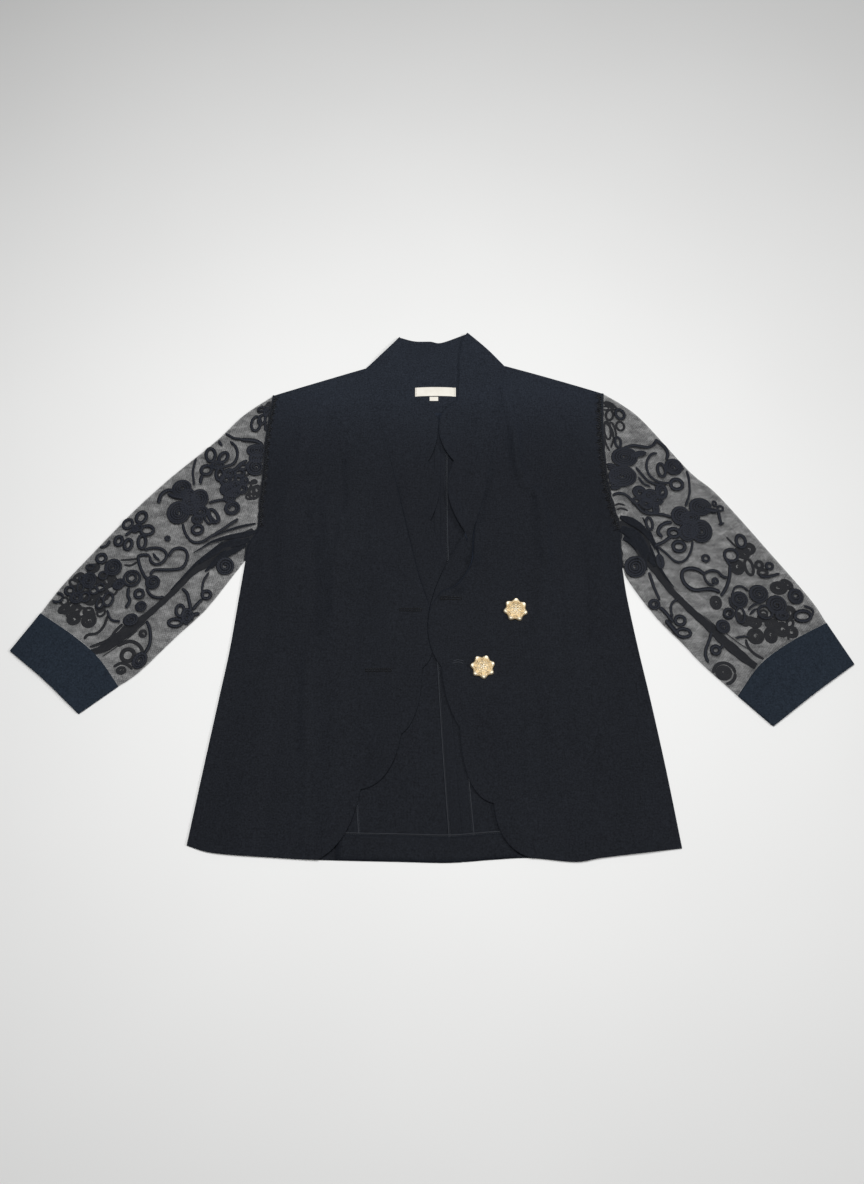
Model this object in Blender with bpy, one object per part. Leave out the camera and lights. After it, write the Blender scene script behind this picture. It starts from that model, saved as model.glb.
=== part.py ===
# A blazer laid flat on its back, front up: two back panels, two fronts with scalloped edges, a shawl
# collar cut in one with the lapels, net sleeves with raised embroidery, turned cuffs, two
# flower-shaped buttons, a neck label and a size tab.
# Sides are named by the wearer, whose right side lies at -X. The collar points to +Y and the garment
# rests on z = 0, with the origin under the middle of its outline. Sizes and tables are in millimetres
# until Shell.build turns them to metres.

import math
from collections import namedtuple

import bmesh
import bpy
import numpy as np
from mathutils import Vector
from mathutils.geometry import delaunay_2d_cdt

MM = 0.001

# Walls and gaps
CLOTH_WALL = 1.2
NET_WALL = 1.0
CUFF_WALL = 1.6
LABEL_WALL = 1.0
SEAM_GAP = 0.3  # between pieces that are sewn together
ARMHOLE_GAP = 0.4  # between sleeve and body, along the bent armhole line
MEET_GAP = 0.8  # between the edges of the two fronts, which only meet
TOP_LIES = CLOTH_WALL + SEAM_GAP  # underside of the upper cloth where a seam holds it down

# Drape of the upper cloth over the back
PUFF = 1.2  # air under the upper cloth away from the seams
HELD_REACH = 34.0  # how far from a seam the cloth rises to its full puff
SLEEVE_PUFF = 1.1
SLEEVE_REACH = 26.0
CUFF_PUFF = 0.9
COLLAR_ROLL = 1.6  # how much the collar's side folds stand rounder than the rest
ROLL_REACH = 16.0
ROLL_START = 30.0  # length along a side fold in which the roll grows to its full height

# Neck and collar
NECK_RIGHT = (-85, 280)
NECK_LEFT = (95, 284)
PEAK_RIGHT = (-41.5, 328)
PEAK_LEFT = (48, 334)
SIDE_FOLD_BOW_RIGHT = (-62.5, 303)
SIDE_FOLD_BOW_LEFT = (73, 311)
COLLAR_TOP_EDGE = [(-22, 322), (-1, 321.5), (14, 319.8)]  # between the peaks, behind the neck
CENTRE_NECK = (11.5, 257)  # top of the centre back seam, under the collar
BACK_NECK_BOW_RIGHT = (-34, 257)
BACK_NECK_BOW_LEFT = (56, 257)
LAPEL_FOOT_Y = 48  # cusp above the large lobe, along which the two fronts meet

# Seam allowances pressed flat inside the back, which show between the fronts
ALLOWANCE_WIDTH = 7.6
ALLOWANCE_RISE = 0.5
ALLOWANCE_SLOPE = 0.6
ALLOWANCE_FROM_SEAM = 1.2
ALLOWANCE_TOP_Y = 222
HEM_ALLOWANCE = 24.0
HEM_ALLOWANCE_Y = -319
HEM_ALLOWANCE_FROM = -82
HEM_ALLOWANCE_TO = 60
HEM_ALLOWANCE_FROM_SEAM = 8.0
HEM_CORNER_CLEAR = 2.0  # no other point of the hem lies this close to the centre seam

# Buttons
BUTTON_RADIUS = 14.5
BUTTON_TIPS = 7
BUTTON_TIP_DEPTH = 0.15  # share of the radius between a tip and a notch
BUTTON_SIDES = 42
BUTTON_REST = 17.0  # radius of the level cloth under a button
BUTTON_REST_SIDES = 16
BUTTON_CLEAR = 22.0  # no other point of the cloth lies this close to a button's centre
BUTTON_BLEND = 14.0

# Label
LABEL_SIZE = (52, 14)
LABEL_CENTRE = (5.5, 245)
LABEL_ARCH = 1.0
TAB_SIZE = (11, 6)
TAB_CENTRE_X = 3.5

# Spacing of the points that shape the cloth
FRONT_GRID_X = 12
FRONT_GRID_Y = 26
LAPEL_GRID = (14, 20)
SLEEVE_GRID = 22
CUFF_GRID = 18
GRID_MARGIN = 6  # clear of the outline
MERGE_WITHIN = 1e-5

EMBROIDERY_RISE = 0.9
EMBROIDERY_SLOPE = 1.1
MOTIF_SIDES = 12
MOTIF_CLEAR = 3

Place = namedtuple("Place", "x y")
Level = namedtuple("Level", "y right left")
Station = namedtuple("Station", "top_x top_y under_x under_y")
Scallop = namedtuple("Scallop", "x y bow_x bow_y")
Crease = namedtuple("Crease", "x0 y0 x1 y1 rise half_width")
Motif = namedtuple("Motif", "x y long short turn")
Ring = namedtuple("Ring", "share height lobed petal_rise")
Finish = namedtuple("Finish", "colour roughness metallic")

# x of the side seam and of the armhole at each level, on the wearer's right and left
SIDE_SEAM = [
    Level(-35, -226, 230.5),
    Level(-98, -232, 239),
    Level(-156, -240, 248),
    Level(-235, -251, 259),
]
ARMHOLE = [
    Level(185, -206, 215),
    Level(125, -207, 216),
    Level(88, -208.5, 221),
    Level(55, -209, 227.5),
    Level(32, -220, 226.5),
]
ARMPIT_RIGHT = (-221.5, 13)
ARMPIT_LEFT = (227.5, 4)
SHOULDER_TIP_RIGHT = (-200, 240)
SHOULDER_TIP_LEFT = (218, 243)
SHOULDER_BOW_RIGHT = (-141, 261)
SHOULDER_BOW_LEFT = (158, 264.5)

HEM = [
    Place(-262, -316), Place(-231, -324), Place(-161, -329), Place(-121, -331), Place(-33, -333),
    Place(20, -334), Place(63, -331), Place(106, -329), Place(154, -333), Place(181, -329),
    Place(224, -324), Place(269, -319),
]
FRONT_HEM_ENDS = (-121, 106)  # x where the fronts' scalloped edges reach the hem
CENTRE_BACK = [Place(11.5, 257), Place(11.5, 8), Place(20, -130), Place(27, -227), Place(35, -333)]

# Front edges from the collar's peak down to the hem: each row is a cusp and the control point of
# the lobe that follows it. The last row is the hem's corner.
SCALLOPS_LEFT = [
    Scallop(48, 334, 36, 317),
    Scallop(36, 279, 36, 256),
    Scallop(34, 233, 12, 218),
    Scallop(10.5, 200, 6, 170),
    Scallop(28, 144, 7, 100),
    Scallop(41, 48, -30, -65),
    Scallop(12, -119, 14, -160),
    Scallop(32, -189, 35, -265),
    Scallop(68, -272, 71, -319),
    Scallop(106, -329, 0, 0),
]
SCALLOPS_RIGHT_ABOVE = [
    Scallop(-41.5, 328, -27, 294),
    Scallop(-26, 264, -22, 248),
    Scallop(-21, 231, 8, 217),
    Scallop(9, 200, 10, 168),
    Scallop(-4, 144, 22, 111),
    Scallop(-1, 64, 8, 38),
]
SCALLOPS_RIGHT_BELOW = [
    Scallop(-10, -120, -11, -179),
    Scallop(-33, -196, -43, -252),
    Scallop(-77, -257, -87, -315),
    Scallop(-121, -331, 0, 0),
]
# Shares of the large left lobe along which the right edge meets it, and where the break lies on it
MEET_START = 0.20
BREAK_SHARE = 0.475
FRONT_EDGE_SHARE = 0.487  # where the front's own edge begins, just under the lapel's end
MEET_END = 0.85
RIGHT_TURN = Place(-0.9, -113)  # control point of the right edge where it leaves the left one

# Seam from the neck point down towards the break, where the lapel joins the front
LAPEL_SEAM_RIGHT = [
    Place(*NECK_RIGHT), Place(-54, 160), Place(-41, 106), Place(-25, 36), Place(-14, -8),
]
LAPEL_SEAM_LEFT = [
    Place(*NECK_LEFT), Place(87, 220), Place(68, 112), Place(58, 73), Place(51, 46), Place(47, 8),
    Place(30, -18), Place(12, -27),
]

SLEEVE_RIGHT = [
    Station(-200, 240, -221.5, 13),
    Station(-238, 210, -234, -5),
    Station(-269, 174, -263, -48),
    Station(-319, 125, -292, -79),
    Station(-358, 82, -312, -101),
    Station(-401, 27, -328.5, -119.5),
    Station(-434, -17, -341.5, -131.5),
    Station(-456, -53, -355, -141),
]
SLEEVE_LEFT = [
    Station(218, 243, 227.5, 4),
    Station(244, 225, 234, -14),
    Station(268.5, 201, 262.5, -58.5),
    Station(319, 132, 290, -90),
    Station(352, 98, 306, -110),
    Station(410, 16, 322, -127),
    Station(446, -37, 335, -140),
    Station(460, -65, 347, -152),
]
CUFF_SEAM_RIGHT = [Place(-456, -53), Place(-412, -82), Place(-382, -107), Place(-355, -141)]
CUFF_SEAM_LEFT = [Place(460, -65), Place(412, -90), Place(377, -115), Place(347, -152)]
CUFF_END_RIGHT = [Place(-485, -99), Place(-440, -134), Place(-396, -173)]
CUFF_END_LEFT = [Place(485, -115), Place(435, -149), Place(383, -187)]

# Soft folds of the upper cloth: a ridge from one end to the other
FRONT_RIGHT_CREASES = [
    Crease(-98, 150, -96, 40, 1.6, 13),
    Crease(-126, 80, -112, -90, 2.2, 14),
    Crease(-104, -150, -108, -318, 2.6, 18),
    Crease(-178, 130, -172, -40, 1.6, 16),
    Crease(-190, -120, -206, -300, 2.0, 18),
    Crease(-60, -20, -50, -230, 1.6, 16),
]
FRONT_LEFT_CREASES = [
    Crease(92, 240, 112, 130, 2.4, 12),
    Crease(137, 100, 128, -60, 2.4, 12),
    Crease(124, -70, 146, -250, 2.2, 15),
    Crease(164, -70, 162, -200, 2.2, 12),
    Crease(198, 20, 200, -110, 2.6, 14),
    Crease(214, -170, 226, -310, 2.0, 16),
    Crease(80, -170, 92, -315, 2.0, 16),
]
# The left front stands up in a ridge over its lapel seam, above the break
LAPEL_RIDGE = [
    Crease(60, 66, 55, 8, 3.4, 8),
    Crease(55, 8, 34, -27, 3.8, 8),
    Crease(34, -27, 14, -38, 2.4, 8),
]
LAPEL_CREASES = [
    Crease(-60, 230, -30, 110, 0.9, 10),
    Crease(70, 240, 56, 120, 0.9, 10),
]
SLEEVE_RIGHT_CREASES = [
    Crease(-216, 60, -262, 36, 1.7, 8),
    Crease(-222, 44, -252, 8, 1.6, 7),
    Crease(-250, 150, -330, 70, 1.0, 14),
    Crease(-300, -20, -372, -84, 1.4, 9),
]
SLEEVE_LEFT_CREASES = [
    Crease(230, 76, 256, 52, 1.7, 8),
    Crease(236, 60, 250, 14, 1.6, 7),
    Crease(262, 160, 336, 60, 1.0, 14),
    Crease(290, -30, 352, -100, 1.4, 9),
]

# Filled petals and rosettes of the embroidery
MOTIFS_RIGHT = [
    Motif(-223, 164, 10, 9, 0),
    Motif(-224, 141, 11, 10, 0),
    Motif(-306, 110, 12, 9, 20),
    Motif(-283, 93, 11, 10, 0),
    Motif(-308, 79, 13, 11, 15),
    Motif(-394, 16, 8, 7, 0),
    Motif(-375, 2, 8, 8, 0),
    Motif(-353, -9, 7, 7, 0),
    Motif(-329, -15, 7, 7, 0),
    Motif(-337, -44, 8, 7, 0),
    Motif(-409, -4, 8, 6, 30),
    Motif(-405, -22, 8, 8, 0),
    Motif(-384, -38, 8, 8, 0),
    Motif(-416, -44, 7, 7, 0),
    Motif(-248, 4, 10, 10, 0),
]
MOTIFS_LEFT = [
    Motif(232, 150, 9, 8, 0),
    Motif(245, 138, 9, 8, 0),
    Motif(232, 122, 10, 9, 0),
    Motif(299, 136, 8, 6, 60),
    Motif(327, 83, 12, 9, 20),
    Motif(303, 70, 10, 11, 0),
    Motif(328, 54, 14, 11, -25),
    Motif(337, -40, 7, 7, 0),
    Motif(360, -34, 8, 8, 0),
    Motif(384, -30, 9, 8, 20),
    Motif(407, -23, 8, 8, 0),
    Motif(431, -31, 8, 7, 0),
    Motif(411, -46, 9, 8, 0),
    Motif(343, -71, 7, 7, 0),
    Motif(383, -76, 8, 9, 0),
    Motif(407, -75, 9, 9, 0),
    Motif(246, 0, 10, 10, 0),
]

BUTTON_UPPER = (98.5, -50.3)
BUTTON_LOWER = (59, -119.2)
BUTTON_RINGS = [
    Ring(1.00, 0.0, 1.0, 0.00),
    Ring(1.00, 1.7, 1.0, 0.00),
    Ring(0.88, 2.9, 1.0, 0.50),
    Ring(0.62, 4.3, 0.7, 0.35),
    Ring(0.34, 5.4, 0.3, 0.15),
    Ring(0.14, 5.9, 0.0, 0.00),
]

CLOTH = Finish((0.0130, 0.0155, 0.0230, 1), 0.85, 0.0)
NET = Finish((0.0600, 0.0620, 0.0640, 1), 0.80, 0.0)
CUFF_CLOTH = Finish((0.0160, 0.0220, 0.0330, 1), 0.80, 0.0)
BRASS = Finish((0.6400, 0.4700, 0.2300, 1), 0.35, 1.0)
LABEL_CLOTH = Finish((0.7800, 0.7300, 0.6300, 1), 0.75, 0.0)


# Lines
def smooth(places, steps=3):
    """A smooth line through the places (Catmull-Rom), with this many steps from each to the next."""
    knots = [np.array(place, float) for place in places]
    knots = [2 * knots[0] - knots[1], *knots, 2 * knots[-1] - knots[-2]]
    line = []
    for before, start, end, after in zip(knots, knots[1:], knots[2:], knots[3:]):
        for step in range(steps):
            t = step / steps
            line.append(
                0.5 * (2 * start + (end - before) * t
                       + (2 * before - 5 * start + 4 * end - after) * t**2
                       + (3 * start - before - 3 * end + after) * t**3)
            )
    line.append(knots[-2])
    return [tuple(point) for point in line]


def bow_point(start, control, end, share):
    """The point at this share of the parabola from start to end that leans towards control."""
    start, control, end = (np.array(place, float) for place in (start, control, end))
    return tuple((1 - share) ** 2 * start + 2 * share * (1 - share) * control + share**2 * end)


def bow(start, control, end, steps=8, first=0.0, last=1.0):
    """The stretch from first to last of that parabola, as a line."""
    return [bow_point(start, control, end, first + (last - first) * i / steps) for i in range(steps + 1)]


def lobes(rows, steps=7):
    """One lobe from each row's cusp to the next row's."""
    line = []
    for row, below in zip(rows, rows[1:]):
        line += bow(row[:2], row[2:], below[:2], steps)[:-1]
    return line + [tuple(rows[-1][:2])]


def beside(line, shift):
    """The line moved to the left of its own direction."""
    points = np.array(line, float)
    along = np.gradient(points, axis=0)
    along /= np.linalg.norm(along, axis=1)[:, None]
    return [tuple(point) for point in points + shift * np.column_stack([-along[:, 1], along[:, 0]])]


def circle(centre, radius, sides):
    angles = np.arange(sides) * 2 * math.pi / sides
    return [(centre[0] + radius * math.cos(a), centre[1] + radius * math.sin(a)) for a in angles]


def moved(line, x, y):
    return [(px + x, py + y) for px, py in line]


def joined(*lines):
    """The lines end to end, without the points that two of them share."""
    points = []
    for line in lines:
        points += line if not points or points[-1] != line[0] else line[1:]
    return points


def distance(x, y, line):
    """How far a point lies from a line of straight pieces."""
    ends = np.array(line, float)
    start, along = ends[:-1], np.diff(ends, axis=0)
    offset = np.array((x, y)) - start
    share = np.clip((offset * along).sum(axis=1) / (along**2).sum(axis=1), 0, 1)
    return float(np.linalg.norm(offset - share[:, None] * along, axis=1).min())


def inside(x, y, outline):
    """Whether a point lies within a closed outline: a ray from it crosses the edge an odd number of times."""
    ends = np.array([*outline, outline[0]], float)
    (x0, y0), (x1, y1) = ends[:-1].T, ends[1:].T
    across = (y0 > y) != (y1 > y)
    rise = np.where(y1 == y0, 1.0, y1 - y0)
    return bool((across & (x < x0 + (y - y0) * (x1 - x0) / rise)).sum() % 2)


def spread(outline, step_x, step_y):
    """Points of a staggered grid inside the outline, clear of its edge."""
    low, high = np.min(outline, axis=0), np.max(outline, axis=0)
    closed = [*outline, outline[0]]
    found = []
    for row, y in enumerate(np.arange(low[1], high[1], step_y)):
        for x in np.arange(low[0] + step_x * (row % 2) / 2, high[0], step_x):
            if inside(x, y, outline) and distance(x, y, closed) > GRID_MARGIN:
                found.append((x, y))
    return found


# Heights
def ease(share):
    """From 0 to 1 with no kink at either end."""
    share = min(max(share, 0.0), 1.0)
    return share * share * (3 - 2 * share)


def swell(x, y, creases):
    """Height of the soft ridges at a point: each falls off as a bell curve to its sides."""
    total = 0.0
    for crease in creases:
        away = distance(x, y, [(crease.x0, crease.y0), (crease.x1, crease.y1)])
        total += crease.rise * math.exp(-((away / crease.half_width) ** 2))
    return total


class Outline:
    """A closed outline made of named runs, each of which starts where the one before it ends."""

    def __init__(self, **runs):
        self.points = []
        starts = {}
        for name, line in runs.items():
            starts[name] = (len(self.points), len(line))
            self.points += line[:-1]
        count = len(self.points)
        self.runs = {name: [(start + i) % count for i in range(length)]
                     for name, (start, length) in starts.items()}

    def turn(self):
        """1 where the outline runs anticlockwise, -1 where it runs clockwise."""
        x, y = np.array(self.points, float).T
        return 1 if (x * np.roll(y, -1) - y * np.roll(x, -1)).sum() > 0 else -1

    def inset(self, folds, wall):
        """The outline of the cloth's inner face: moved in by the wall along the folds."""
        inner = [np.array(point, float) for point in self.points]
        count = len(inner)
        for name in folds:
            run = self.runs[name]
            line = [self.points[i] for i in run]
            shifted = beside(line, self.turn() * wall)
            for place, i in enumerate(run):
                inner[i] = np.array(shifted[place])
            for place, step in ((0, -1), (-1, 1)):
                i = run[place]
                corner = np.array(self.points[i], float)
                normal = (inner[i] - corner) / wall
                along = np.array(self.points[(i + step) % count], float) - corner
                along /= np.linalg.norm(along)
                inner[i] = corner + along * wall / abs(along @ normal)
        return [tuple(point) for point in inner]


class Shell:
    """Collects the faces of one closed piece. Corners at the same place become one point."""

    def __init__(self):
        self.points = []
        self.found = {}
        self.faces = []

    def point(self, x, y, z):
        place = (round(x, 4), round(y, 4), round(z, 4))
        if place not in self.found:
            self.found[place] = len(self.points)
            self.points.append(place)
        return self.found[place]

    def face(self, *corners):
        indices = [self.point(*corner) for corner in corners]
        indices = [index for place, index in enumerate(indices) if index != indices[place - 1]]
        if len(set(indices)) > 2:
            self.faces.append(indices)

    def surface(self, outline, height, within=(), raised=()):
        """One face of the cloth: triangles between the outline, the points within it and the feet and
        tops of what is raised on it."""
        places = [(x, y, height(x, y)) for x, y in [*outline, *within]]
        count = len(outline)
        edges = [(i, (i + 1) % count) for i in range(count)]
        for foot, top, rise in raised:
            for ring, lift in ((foot, 0.0), (top, rise)):
                start = len(places)
                places += [(x, y, height(x, y) + lift) for x, y in ring]
                edges += [(start + i, start + (i + 1) % len(ring)) for i in range(len(ring))]
        flat = [Vector(place[:2]) for place in places]
        points, _, faces, origins, _, _ = delaunay_2d_cdt(flat, edges, [], 1, MERGE_WITHIN)
        corners = [places[origin[0]] if origin else (point.x, point.y, height(point.x, point.y))
                   for point, origin in zip(points, origins)]
        for face in faces:
            self.face(*(corners[i] for i in face))

    def edge(self, outline, inner_outline, run, outer, inner):
        """The cut edge of the cloth along a run, from its outer to its inner face."""
        for i, j in zip(run, run[1:]):
            a, b, c, d = outline[i], outline[j], inner_outline[j], inner_outline[i]
            self.face((*a, outer(*a)), (*b, outer(*b)), (*c, inner(*c)), (*d, inner(*d)))

    def build(self, name, finish):
        mesh = bpy.data.meshes.new(name)
        mesh.from_pydata([[value * MM for value in point] for point in self.points], [], self.faces)
        work = bmesh.new()
        work.from_mesh(mesh)
        bmesh.ops.recalc_face_normals(work, faces=work.faces)
        work.to_mesh(mesh)
        work.free()
        return add_object(name, mesh, finish)


def add_object(name, mesh, finish):
    """Puts the mesh in the scene under this name, with a material of its own."""
    material = bpy.data.materials.new(name)
    material.use_nodes = True
    shader = material.node_tree.nodes["Principled BSDF"]
    shader.inputs["Base Color"].default_value = finish.colour
    shader.inputs["Roughness"].default_value = finish.roughness
    shader.inputs["Metallic"].default_value = finish.metallic
    mesh.materials.append(material)
    piece = bpy.data.objects.new(name, mesh)
    bpy.context.scene.collection.objects.link(piece)
    return piece


def panel(name, outline, finish, wall, underside, within=(), raised=()):
    """A single wall of cloth: its underside, the upper face one wall above it, and its cut edge."""
    def upper(x, y):
        return underside(x, y) + wall

    shell = Shell()
    shell.surface(outline, underside, within)
    shell.surface(outline, upper, within, raised)
    around = [*range(len(outline)), 0]
    shell.edge(outline, outline, around, upper, underside)
    return shell.build(name, finish)


def flat_tube(name, outline, folds, open_ends, finish, wall, upper, within=(), raised=()):
    """A tube of cloth laid flat: a lower wall on the floor, an upper wall whose outer face is at the
    height that upper gives, joined along the folds and open at its ends."""
    shell = Shell()
    inner_outline = outline.inset(folds, wall)
    level = {
        "floor": lambda x, y: 0.0,
        "low": lambda x, y: wall,
        "high": lambda x, y: upper(x, y) - wall,
        "top": upper,
    }
    shell.surface(outline.points, level["floor"])
    shell.surface(inner_outline, level["low"])
    shell.surface(inner_outline, level["high"], within)
    shell.surface(outline.points, level["top"], within, raised)
    for name_of_end in open_ends:
        run = outline.runs[name_of_end]
        shell.edge(outline.points, inner_outline, run, level["floor"], level["low"])
        shell.edge(outline.points, inner_outline, run, level["top"], level["high"])
    for name_of_fold in folds:
        run = outline.runs[name_of_fold]
        shell.edge(outline.points, outline.points, run, level["floor"], level["top"])
        shell.edge(inner_outline, inner_outline, run, level["low"], level["high"])
        for i in (run[0], run[-1]):
            out, back = outline.points[i], inner_outline[i]
            shell.face((*out, 0.0), (*back, wall), (*back, level["high"](*back)), (*out, upper(*out)))
    return shell.build(name, finish)


# Lines that the pieces share
def side_line(side):
    """Armpit to hem, on the wearer's right or left."""
    armpit = ARMPIT_RIGHT if side == "right" else ARMPIT_LEFT
    corner = HEM[0] if side == "right" else HEM[-1]
    return smooth([armpit, *[(getattr(row, side), row.y) for row in SIDE_SEAM], tuple(corner)])


def armhole_line(side):
    """Shoulder tip to armpit."""
    tip = SHOULDER_TIP_RIGHT if side == "right" else SHOULDER_TIP_LEFT
    armpit = ARMPIT_RIGHT if side == "right" else ARMPIT_LEFT
    return smooth([tip, *[(getattr(row, side), row.y) for row in ARMHOLE], armpit])


def shoulder_line(side):
    """Neck point to shoulder tip."""
    if side == "right":
        return bow(NECK_RIGHT, SHOULDER_BOW_RIGHT, SHOULDER_TIP_RIGHT)
    return bow(NECK_LEFT, SHOULDER_BOW_LEFT, SHOULDER_TIP_LEFT)


def neck_line(side):
    """Neck point to the top of the centre back seam."""
    if side == "right":
        return bow(NECK_RIGHT, BACK_NECK_BOW_RIGHT, CENTRE_NECK)
    return bow(NECK_LEFT, BACK_NECK_BOW_LEFT, CENTRE_NECK)


def hem_line(first, last):
    """The hem's points strictly between two places across the garment."""
    return [point for point in smooth(HEM) if first < point[0] < last]


def meeting_line(side, first, last, steps):
    """A stretch of the left front's large lobe, or of the right front's edge, which meets it."""
    at = next(i for i, row in enumerate(SCALLOPS_LEFT) if row.y == LAPEL_FOOT_Y)
    lobe, below = SCALLOPS_LEFT[at], SCALLOPS_LEFT[at + 1]
    line = bow(lobe[:2], lobe[2:], below[:2], steps, first, last)
    return moved(line, -MEET_GAP, 0) if side == "right" else line


def lapel_seam(side):
    """Neck point to break, where the lapel ends and the front's own edge begins."""
    places = LAPEL_SEAM_RIGHT if side == "right" else LAPEL_SEAM_LEFT
    return smooth([*places, meeting_line(side, BREAK_SHARE, 1.0, 1)[0]], steps=4)


def lapel_edge(side):
    """Collar peak to break, along the scallops."""
    if side == "left":
        above = [row for row in SCALLOPS_LEFT if row.y >= LAPEL_FOOT_Y]
        return joined(lobes(above), meeting_line(side, 0.0, BREAK_SHARE, 7))
    meeting = meeting_line(side, MEET_START, BREAK_SHARE, 5)
    start = Scallop(*meeting[0], 0, 0)
    return joined(lobes([*SCALLOPS_RIGHT_ABOVE, start]), meeting)


def front_edge(side):
    """Just under the break to the hem, along the scallops."""
    if side == "left":
        below = [row for row in SCALLOPS_LEFT if row.y < LAPEL_FOOT_Y]
        return joined(meeting_line(side, FRONT_EDGE_SHARE, 1.0, 7), lobes(below))
    meeting = meeting_line(side, FRONT_EDGE_SHARE, MEET_END, 6)
    turn = bow(meeting[-1], RIGHT_TURN, SCALLOPS_RIGHT_BELOW[0][:2], steps=3)
    return joined(meeting, turn, lobes(SCALLOPS_RIGHT_BELOW))


HELD_LINES = {side: joined(shoulder_line(side), armhole_line(side), side_line(side))
              for side in ("right", "left")}
SIDE_FOLD = {
    "right": bow(NECK_RIGHT, SIDE_FOLD_BOW_RIGHT, PEAK_RIGHT, steps=6),
    "left": bow(NECK_LEFT, SIDE_FOLD_BOW_LEFT, PEAK_LEFT, steps=6),
}
TOP_CREASES = {
    "right": FRONT_RIGHT_CREASES + LAPEL_CREASES,
    "left": FRONT_LEFT_CREASES + LAPEL_CREASES,
}


def drape(x, y, side):
    """Underside of the fronts and lapels: it rises from the seams that hold it to a puff with folds."""
    free = ease(distance(x, y, HELD_LINES[side]) / HELD_REACH)
    return TOP_LIES + free * (PUFF + swell(x, y, TOP_CREASES[side]))


def front_underside(x, y, side):
    """The drape, with the left front's ridge, and level where a button lies."""
    def free_height(px, py):
        ridge = swell(px, py, LAPEL_RIDGE) if side == "left" else 0.0
        return drape(px, py, side) + ridge

    height = free_height(x, y)
    if side == "left":
        for centre in (BUTTON_UPPER, BUTTON_LOWER):
            away = math.dist((x, y), centre)
            height += (free_height(*centre) - height) * (1 - ease((away - BUTTON_REST) / BUTTON_BLEND))
    return height


def strip(line, width, slope):
    """A raised strip along a line: the outline of its foot, and of its top, which is narrower."""
    rings = []
    for shrink in (0.0, slope):
        half = width / 2 - shrink
        ends = beside(line, half), beside(line, -half)[::-1]
        rings.append([*ends[0], *ends[1]])
    trimmed = rings[1]
    count = len(line)
    for i, j in ((0, 1), (count - 1, count - 2), (count, count + 1), (2 * count - 1, 2 * count - 2)):
        start, towards = np.array(trimmed[i]), np.array(trimmed[j])
        trimmed[i] = tuple(start + (towards - start) / np.linalg.norm(towards - start) * slope)
    return rings[0], trimmed


# Pieces
def build_back(side):
    """One half of the back, flat on the floor, with its centre seam allowance and hem turning."""
    outward = -1 if side == "right" else 1
    seam = moved(smooth(CENTRE_BACK, steps=4), outward * SEAM_GAP / 2, 0)
    seam[0] = (seam[0][0], CENTRE_NECK[1] - SEAM_GAP)
    neck = moved(neck_line(side)[:-1], 0, -SEAM_GAP)
    if side == "right":
        hem = hem_line(-math.inf, seam[-1][0] - HEM_CORNER_CLEAR)
        turning = (HEM_ALLOWANCE_FROM, seam[-1][0] - HEM_ALLOWANCE_FROM_SEAM)
    else:
        hem = hem_line(seam[-1][0] + HEM_CORNER_CLEAR, math.inf)[::-1]
        turning = (seam[-1][0] + HEM_ALLOWANCE_FROM_SEAM, HEM_ALLOWANCE_TO)
    outline = joined([seam[0], *neck[::-1]], shoulder_line(side)[1:], armhole_line(side), side_line(side),
                     hem, seam[:0:-1])

    pressed = [point for point in seam if HEM[0].y < point[1] < ALLOWANCE_TOP_Y]
    pressed = moved(pressed, outward * (ALLOWANCE_WIDTH / 2 + ALLOWANCE_FROM_SEAM), 0)
    turned = [(x, HEM_ALLOWANCE_Y) for x in np.linspace(*turning, 3)]
    raised = [(*strip(line, width, ALLOWANCE_SLOPE), ALLOWANCE_RISE)
              for line, width in ((pressed, ALLOWANCE_WIDTH), (turned, HEM_ALLOWANCE))]
    return panel(f"back_{side}", outline, CLOTH, CLOTH_WALL, lambda x, y: 0.0, (), raised)


def build_front(side):
    """A front from shoulder to hem, between the side seam and the scalloped edge."""
    outward = -1 if side == "right" else 1
    seam = beside(lapel_seam(side), outward * SEAM_GAP)
    shoulder = [seam[0], *shoulder_line(side)[1:]]
    if side == "right":
        hem = hem_line(-math.inf, FRONT_HEM_ENDS[0])
    else:
        hem = hem_line(FRONT_HEM_ENDS[1], math.inf)[::-1]
    edge = front_edge(side)[::-1]
    outline = joined(shoulder, armhole_line(side), side_line(side), hem, edge, seam[:0:-1])
    within = spread(outline, FRONT_GRID_X, FRONT_GRID_Y)
    if side == "left":
        for centre in (BUTTON_UPPER, BUTTON_LOWER):
            within = [point for point in within if math.dist(point, centre) > BUTTON_CLEAR]
            within += circle(centre, BUTTON_REST, BUTTON_REST_SIDES)

    def underside(x, y):
        return front_underside(x, y, side)

    return panel(f"front_{side}", outline, CLOTH, CLOTH_WALL, underside, within)


def collar_roll(x, y, side):
    """The collar's folded sides stand a little rounder, most at their middle."""
    fold = SIDE_FOLD[side]
    share = ease(math.dist((x, y), fold[0]) / ROLL_START)
    return COLLAR_ROLL * share * math.exp(-((distance(x, y, fold) / ROLL_REACH) ** 2))


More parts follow.
